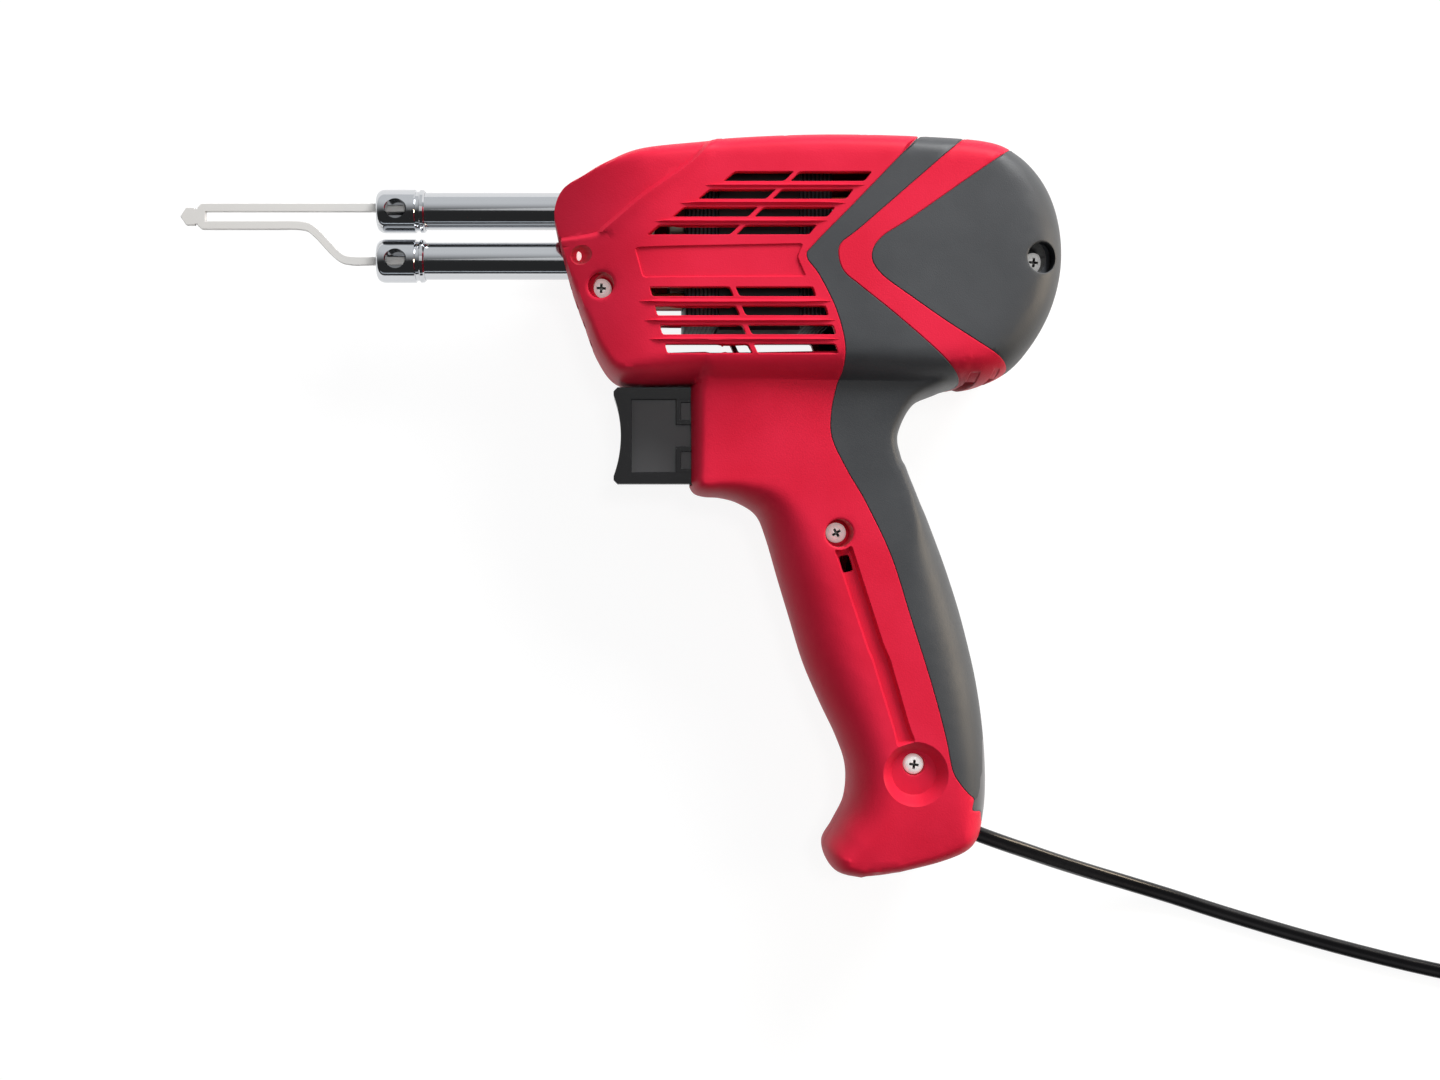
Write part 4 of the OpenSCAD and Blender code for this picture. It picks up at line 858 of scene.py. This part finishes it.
def cord_path():
    """Centre line of the whole cord, from the clamp to the plug, in millimetres."""
    pitch, lift = CORD_W + LOOP_GAP, CORD_T + LOOP_GAP
    top = CORD_Z + (COIL_LAYERS - 1) * lift
    centre = np.array(COIL_START) + (0, COIL_R)
    route = through(ROUTE, 3)
    route[:, 2] = np.maximum(route[:, 2] + PARTING, CORD_Z)
    coil = []
    for i in range(COIL_LAYERS * LAYER_LOOPS * TURN_POINTS + 1):
        turn = i / TURN_POINTS
        steps = math.floor(turn) + eased((turn % 1 - CLIMB / 2) / (1 - CLIMB))
        layer = min(int(steps / LAYER_LOOPS), COIL_LAYERS - 1)
        along = steps / LAYER_LOOPS - layer
        radius = COIL_R - pitch * LAYER_LOOPS * (along if layer % 2 == 0 else 1 - along)
        reverse = min(max(round(turn / LAYER_LOOPS), 1), COIL_LAYERS - 1)
        level = reverse - 1 + eased((turn - reverse * LAYER_LOOPS) / CLIMB + 0.5)
        angle = 2 * math.pi * turn - math.pi / 2
        x, y = centre + radius * np.array((math.cos(angle), math.sin(angle)))
        coil.append((x, y, CORD_Z + lift * level))
    x, y = COIL_START[0] + CORD_W, COIL_START[1]
    plug_x, plug_y = x + 44, y - 8
    tail = through([(x, y, top), (x + 8, y, top), (x + 16, y - 2, top + 0.2), (x + 26, y - 6, 7),
                    (plug_x - 8, plug_y, 6), (plug_x, plug_y, 6)], 4)
    return np.vstack([route, coil, tail])


def cord_section():
    """Flat twin section: two round cores side by side with a groove between them."""
    r, off = CORD_T / 2, (CORD_W - CORD_T) / 2
    arc = np.radians(np.linspace(-122, 122, 11))
    right = np.stack([off + r * np.cos(arc), r * np.sin(arc)], 1)
    left = np.stack([-off - r * np.cos(arc), -r * np.sin(arc)], 1)
    return np.vstack([right, left])


def swept(name, path, section):
    """Closed tube of a section along a path that never runs upright."""
    path = np.asarray(path)
    along = np.gradient(path, axis=0)
    along /= np.linalg.norm(along, axis=1, keepdims=True)
    side = np.cross((0, 0, 1), along)
    side /= np.linalg.norm(side, axis=1, keepdims=True)
    up = np.cross(along, side)
    rings = path[:, None] + side[:, None] * section[None, :, :1] + up[:, None] * section[None, :, 1:]
    n, m = len(path), len(section)
    faces = ring_faces(n, m)
    faces += [tuple(range(m))[::-1], tuple((n - 1) * m + i for i in range(m))]
    return mesh_piece(name, rings.reshape(-1, 3) * MM, faces, sharp=60)


CORD_PATH = cord_path()
cord_piece = dressed(swept("mains_cord", CORD_PATH, cord_section()), "cord_black")
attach(cord_piece, "gun")
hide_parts("power_cord", "cord_coil", "cord_tail")


# Small solids

def lathe(name, profile, origin, axis, count):
    """Turned piece: a closed profile of along and radius, round an axis."""
    axis = Vector(axis).normalized()
    side = axis.orthogonal().normalized()
    other = axis.cross(side)
    verts = []
    for a in np.linspace(0, 2 * math.pi, count, endpoint=False):
        spoke = side * math.cos(a) + other * math.sin(a)
        verts += [(Vector(origin) + axis * x + spoke * r) * MM for x, r in profile]
    piece = mesh_piece(name, verts, ring_faces(count, len(profile), closed=True))
    bm = bmesh.new()
    bm.from_mesh(piece.data)
    bmesh.ops.remove_doubles(bm, verts=bm.verts, dist=1e-7)
    bmesh.ops.recalc_face_normals(bm, faces=bm.faces)
    bm.to_mesh(piece.data)
    bm.free()
    smoothed(piece.data, 35)
    return piece


def drilled(piece, cutter):
    """Takes one solid out of another."""
    cut = piece.modifiers.new("hole", "BOOLEAN")
    cut.object = cutter
    cut.solver = "EXACT"
    applied(piece)
    bpy.data.objects.remove(cutter)
    smoothed(piece.data, 30)
    return piece


def softened(node, name, width, segments, finish=None, body="gun"):
    """The CAD node's own shape with its edges rounded, in its place."""
    mesh = NODES[node].data.copy()
    mesh.name = name
    piece = added(name, mesh)
    bm = bmesh.new()
    bm.from_mesh(mesh)
    bmesh.ops.remove_doubles(bm, verts=bm.verts, dist=2e-6)
    bmesh.ops.dissolve_limit(bm, angle_limit=math.radians(2), verts=bm.verts, edges=bm.edges)
    bm.to_mesh(mesh)
    bm.free()
    edge = piece.modifiers.new("edge", "BEVEL")
    edge.width = width * MM
    edge.segments = segments
    edge.limit_method = "ANGLE"
    edge.angle_limit = math.radians(28)
    piece.data.polygons.foreach_set("use_smooth", [True] * len(piece.data.polygons))
    even = piece.modifiers.new("even", "WEIGHTED_NORMAL")
    even.weight = 100
    applied(piece)
    slot = NODE_FINISH[node]
    dressed(piece, finish or slot)
    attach(piece, body)
    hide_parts(node)
    return piece


def barrels_and_nuts():
    """Plated tubes and their tip nuts, turned, with the cross holes cut into the nuts."""
    r, b, long = TUBE_D / 2, TUBE_BORE / 2, TUBE_BACK - TUBE_FRONT
    tube_profile = [(0, TIP_SLOT), (0, r - 0.3), (0.3, r), (long, r), (long, b), (6, b), (6, TIP_SLOT)]
    n, bore, front, hole = NUT_D / 2, r + 0.05, NUT_LENGTH, NUT_HOLE / 2
    wall = TUBE_FRONT - NUT_FRONT - 0.3
    dome = [(2.2 * (1 - math.cos(a)), n - 1.5 + 1.5 * math.sin(a)) for a in np.linspace(0, math.pi / 2, 9)]
    ring = [(2.5, 0), (2.35, 0.12), (2.25, 0.5), (1.45, 0.5), (1.3, 0.15), (1.1, 0.02)]
    ring += [(0.35, 0.1), (0, 0.45)]
    nut_profile = [(0, TIP_SLOT)] + dome + [(front - back, n - low) for back, low in ring]
    nut_profile += [(front, bore), (wall, bore), (wall, TIP_SLOT)]
    flare = [(0, 0), (0, hole), (3.2, hole), (3.6, hole + 0.35), (5, hole + 1.6), (8, hole + 1.6), (8, 0)]
    for which, y in zip(("upper", "lower"), TUBE_Y):
        tube = lathe(f"{which}_tube", tube_profile, (TUBE_FRONT, y, PARTING), (1, 0, 0), 72)
        dressed(tube, "plated")
        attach(tube, "gun")
        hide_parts(f"{which}_barrel")
        nut = lathe(f"{which}_nut", nut_profile, (NUT_FRONT, y, PARTING), (1, 0, 0), 96)
        drilled(nut, lathe("hole_cutter", flare, (NUT_FRONT + 5.1, y, PARTING + 2), (0, 0, 1), 48))
        dressed(nut, "plated")
        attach(nut, f"{which}_nut")
        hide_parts(f"{which}_tip_nut")


barrels_and_nuts()


def lamps():
    """A round-nosed lamp on each side of the nose, flattened where it meets the tubes."""
    lean = math.radians(LAMP_LEAN)
    for which, side in (("left", 1), ("right", -1)):
        x, y, z = LAMP_BASE
        axis = (-math.cos(lean), 0, side * math.sin(lean))
        r = LAMP_D / 2
        angles = np.linspace(0, math.pi / 2, 9)
        dome = [(LAMP_LENGTH - r + r * math.sin(a), max(r * math.cos(a), 0)) for a in angles]
        lens = lathe(f"{which}_lens", [(0, 0), (0, r)] + dome, (x, y, PARTING + side * z), axis, 32)
        for v in lens.data.vertices:
            v.co.x = LENS_X * MM + (v.co.x - LENS_X * MM) * LENS_NARROW
        dressed(lens, "lamp_clear")
        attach(lens, "gun")
        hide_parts(f"{which}_lamp")


lamps()


# Screws, repeated by Geometry Nodes

def pan_head_screw():
    """One screw with a domed head and a cross recess, its seat at the origin."""
    head_r, shaft_r = 2.5, 1.45
    dome = [(0.1, head_r), (0.9, head_r), (1.3, head_r - 0.12), (1.65, head_r - 0.5), (1.85, head_r - 1.1)]
    dome += [(1.95, 0.8), (1.98, 0)]
    profile = [(-21, 0), (-21, 0.5), (-19.4, shaft_r), (0, shaft_r), (0, head_r - 0.1)] + dome
    screw = lathe("screw_shape", profile, (0, 0, 0), (0, 0, 1), 40)
    for turn in (20, 110):
        a = math.radians(turn)
        along, across = np.array([math.cos(a), math.sin(a), 0]), np.array([-math.sin(a), math.cos(a), 0])
        corners = []
        for z, half_w, half_l in ((0.7, 0.22, 0.7), (2.6, 0.38, 1.5)):
            for sx, sy in ((-1, -1), (1, -1), (1, 1), (-1, 1)):
                corners.append((along * sx * half_l + across * sy * half_w + (0, 0, z)) * MM)
        faces = [(3, 2, 1, 0), (4, 5, 6, 7)] + [(i, (i + 1) % 4, 4 + (i + 1) % 4, 4 + i) for i in range(4)]
        drilled(screw, mesh_piece("cross_cutter", corners, faces))
    return screw


def screw_tree():
    """Geometry Nodes that set a screw on every point, each with its cross turned a little."""
    tree = bpy.data.node_groups.new("screws_on_seats", "GeometryNodeTree")
    for name, kind in (("Geometry", "Geometry"), ("Screw", "Object"), ("Finish", "Material")):
        tree.interface.new_socket(name, in_out="INPUT", socket_type=f"NodeSocket{kind}")
    tree.interface.new_socket("Geometry", in_out="OUTPUT", socket_type="NodeSocketGeometry")
    source, result = tree.nodes.new("NodeGroupInput"), tree.nodes.new("NodeGroupOutput")
    kinds = ("ObjectInfo", "InstanceOnPoints", "MeshToPoints", "RealizeInstances", "SetMaterial")
    info, place, points, real, paint = (tree.nodes.new(f"GeometryNode{kind}") for kind in kinds)
    spin = tree.nodes.new("FunctionNodeRandomValue")
    spin.data_type = "FLOAT_VECTOR"
    preset(spin, Seed=4)
    spin.inputs[0].default_value = (0, 0, -0.6)
    spin.inputs[1].default_value = (0, 0, 0.6)
    wired(
        tree,
        (source.outputs["Geometry"], points.inputs["Mesh"]),
        (source.outputs["Screw"], info.inputs["Object"]),
        (points.outputs["Points"], place.inputs["Points"]),
        (info.outputs["Geometry"], place.inputs["Instance"]),
        (spin.outputs[0], place.inputs["Rotation"]),
        (place.outputs["Instances"], real.inputs["Geometry"]),
        (real.outputs["Geometry"], paint.inputs["Geometry"]),
        (source.outputs["Finish"], paint.inputs["Material"]),
        (paint.outputs["Geometry"], result.inputs["Geometry"]),
    )
    return tree


def repeated(tree, name, points, inputs):
    """Runs a tree on points and keeps its result as a plain mesh."""
    seat = mesh_piece(name, [np.array(p) * MM for p in points], [])
    mod = seat.modifiers.new("repeat", "NODES")
    mod.node_group = tree
    for item in tree.interface.items_tree:
        if item.item_type == "SOCKET" and item.in_out == "INPUT" and item.name in inputs:
            mod[item.identifier] = inputs[item.name]
    return applied(seat)


def screws():
    """The four case screws, a hair above their seats."""
    shape = pan_head_screw()
    seats = [(x, y, PARTING + seat + 0.05) for x, y, seat, _, _ in SCREWS]
    inputs = {"Screw": shape, "Finish": MATERIALS["screw_steel"]}
    piece = repeated(screw_tree(), "pan_head_screws", seats, inputs)
    bpy.data.objects.remove(shape)
    smoothed(piece.data, 35)
    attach(piece, "gun")
    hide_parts("case_screws")


screws()

# Housing halves

def glossier(piece):
    """Gives the handle's lower rear edge its smoother strip."""
    piece.data.materials.append(MATERIALS["strip_black"])
    centres = np.array([p.center[:2] for p in piece.data.polygons]) / MM
    piece.data.polygons.foreach_set("material_index", inside(centres, strip_loop).astype(int))


for side_name, screw_side in (("left", True), ("right", False)):
    red, black = housing_half(f"{side_name}_case", screw_side)
    dressed(red, "red_body")
    dressed(black, "soft_black")
    glossier(black)
    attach(red, "gun")
    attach(black, "gun")
    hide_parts(f"{side_name}_housing")
    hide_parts(f"{side_name}_overmould")

# Pieces that keep the CAD shape with rounded edges

softened("soldering_tip", "hairpin_tip", 0.22, 3)
trigger = softened("trigger", "slide_trigger", 0.5, 3, body="trigger")
# The trigger's sunken flat panel faces take the lighter grey finish: a rougher grain, and painted sheen for
# the light they reflect.
trigger.data.materials.append(MATERIALS["trigger_panel"])
for face in trigger.data.polygons:
    out = abs(face.center.z / MM - PARTING)
    sunk_face = out < TRIGGER_HALF - 0.3 and face.center.x / MM > TRIGGER_RIM
    face.material_index = int(abs(face.normal.z) > 0.98 and sunk_face and face.area > 1e-6)
plug = softened("plug_body", "two_pin_plug", 1.6, 4)
blades = softened("plug_blades", "plug_pins", 0.3, 2)
tie = softened("cord_tie", "coil_tie", 0.3, 2)
for node, width in (
    ("core_e_stack", 0.3), ("core_i_stack", 0.3), ("core_bracket", 0.3), ("coil_bobbin", 0.2),
    ("secondary_strap", 0.3), ("switch_body", 0.5), ("barrel_spacer", 0.2), ("cord_clamp", 0.4),
    ("switch_terminals", 0.1), ("wire_connectors", 0.3),
):
    softened(node, f"fine_{node}", width, 2)
softened("switch_plunger", "fine_plunger", 0.3, 2, body="plunger")
softened("primary_winding", "fine_winding", 0.5, 3, finish="winding")

# Every CAD node keeps a finish of its own, hidden or not
for node, obj in NODES.items():
    dressed(obj, NODE_FINISH[node])


# Floor, light and view

def add_floor():
    """Floor that shows its own even light to the camera and to mirrors, and takes soft shadows."""
    bpy.ops.mesh.primitive_plane_add(size=6, location=(0, 0, -0.0002))
    floor = bpy.context.object
    floor.name = "floor"
    f = Finish("floor_pale", (0.62, 0.62, 0.62, 1), 0.9, Specular_IOR_Level=0.1)
    rays = f.node("ShaderNodeLightPath").outputs
    glow = f.node("ShaderNodeEmission")
    preset(glow, Strength=1.2)
    seen = f.node("ShaderNodeMath", operation="MAXIMUM")
    clear = f.node("ShaderNodeMath", operation="MAXIMUM")
    share = f.node("ShaderNodeMath", operation="MULTIPLY")
    share.inputs[1].default_value = 0.75
    mix = f.node("ShaderNodeMixShader")
    wired(
        f.tree,
        (rays["Is Camera Ray"], seen.inputs[0]),
        (rays["Is Glossy Ray"], seen.inputs[1]),
        (seen.outputs[0], clear.inputs[0]),
        (rays["Is Transmission Ray"], clear.inputs[1]),
        (clear.outputs[0], share.inputs[0]),
        (share.outputs[0], mix.inputs["Fac"]),
        (f.shader.outputs[0], mix.inputs[1]),
        (glow.outputs[0], mix.inputs[2]),
        (mix.outputs[0], f.tree.nodes["Material Output"].inputs["Surface"]),
    )
    floor.data.materials.append(f.material)


def add_light(name, place, target, size, energy, tint=(1, 1, 1)):
    """Soft light of a size in metres, aimed at a target."""
    data = bpy.data.lights.new(name, "AREA")
    data.shape = "RECTANGLE"
    data.size, data.size_y = size
    data.energy = energy
    data.color = tint
    lamp = added(name, data)
    lamp.location = place
    lamp.rotation_euler = (Vector(target) - Vector(place)).to_track_quat("-Z", "Y").to_euler()
    return lamp


def add_world():
    """Even studio fill, dark where a bright surface mirrors it."""
    world = bpy.data.worlds.new("studio")
    world.use_nodes = True
    bpy.context.scene.world = world
    tree = world.node_tree
    back = tree.nodes["Background"]
    preset(back, Color=(0.96, 0.98, 1.0, 1))
    kinds = ("LightPath", "TexCoord", "SeparateXYZ", "MapRange", "MapRange", "MapRange")
    rays, place, split, sheen, fill, level = (tree.nodes.new(f"ShaderNode{kind}") for kind in kinds)
    preset(sheen, From_Min=-0.2, From_Max=0.75, To_Min=0.03, To_Max=0.8)
    preset(fill, From_Min=-0.8, From_Max=0.8, To_Min=0.05, To_Max=0.5)
    sheen.interpolation_type = "SMOOTHSTEP"
    wired(
        tree,
        (place.outputs["Generated"], split.inputs[0]),
        (split.outputs["Y"], sheen.inputs["Value"]),
        (split.outputs["Y"], fill.inputs["Value"]),
        (fill.outputs["Result"], level.inputs["To Min"]),
        (rays.outputs["Is Glossy Ray"], level.inputs["Value"]),
        (sheen.outputs["Result"], level.inputs["To Max"]),
        (level.outputs["Result"], back.inputs["Strength"]),
    )


add_floor()
add_world()
add_light("key_softbox", (0.4, 0.72, 0.46), (0.02, 0.0, 0.03), (0.5, 0.36), 11.0)
add_light("low_strip", (-0.1, -0.62, 0.2), (0.0, 0.0, 0.03), (0.9, 0.06), 0.12, (0.85, 0.92, 1.0))
add_light("rear_warm", (0.62, 0.05, 0.1), (0.1, 0.0, 0.03), (0.12, 0.5), 2.6, (1.0, 0.82, 0.6))
fill = add_light("front_fill", (0.1, 0.12, 0.95), (0.0, 0.0, 0.03), (0.12, 0.12), 1.7)
fill.visible_glossy = False
panel = add_light("sheen_panel", (0.08, 0.14, 0.95), (0.0, 0.0, 0.03), (0.36, 0.36), 0.22)
panel.visible_diffuse = False
bpy.context.scene.view_settings.view_transform = "Standard"
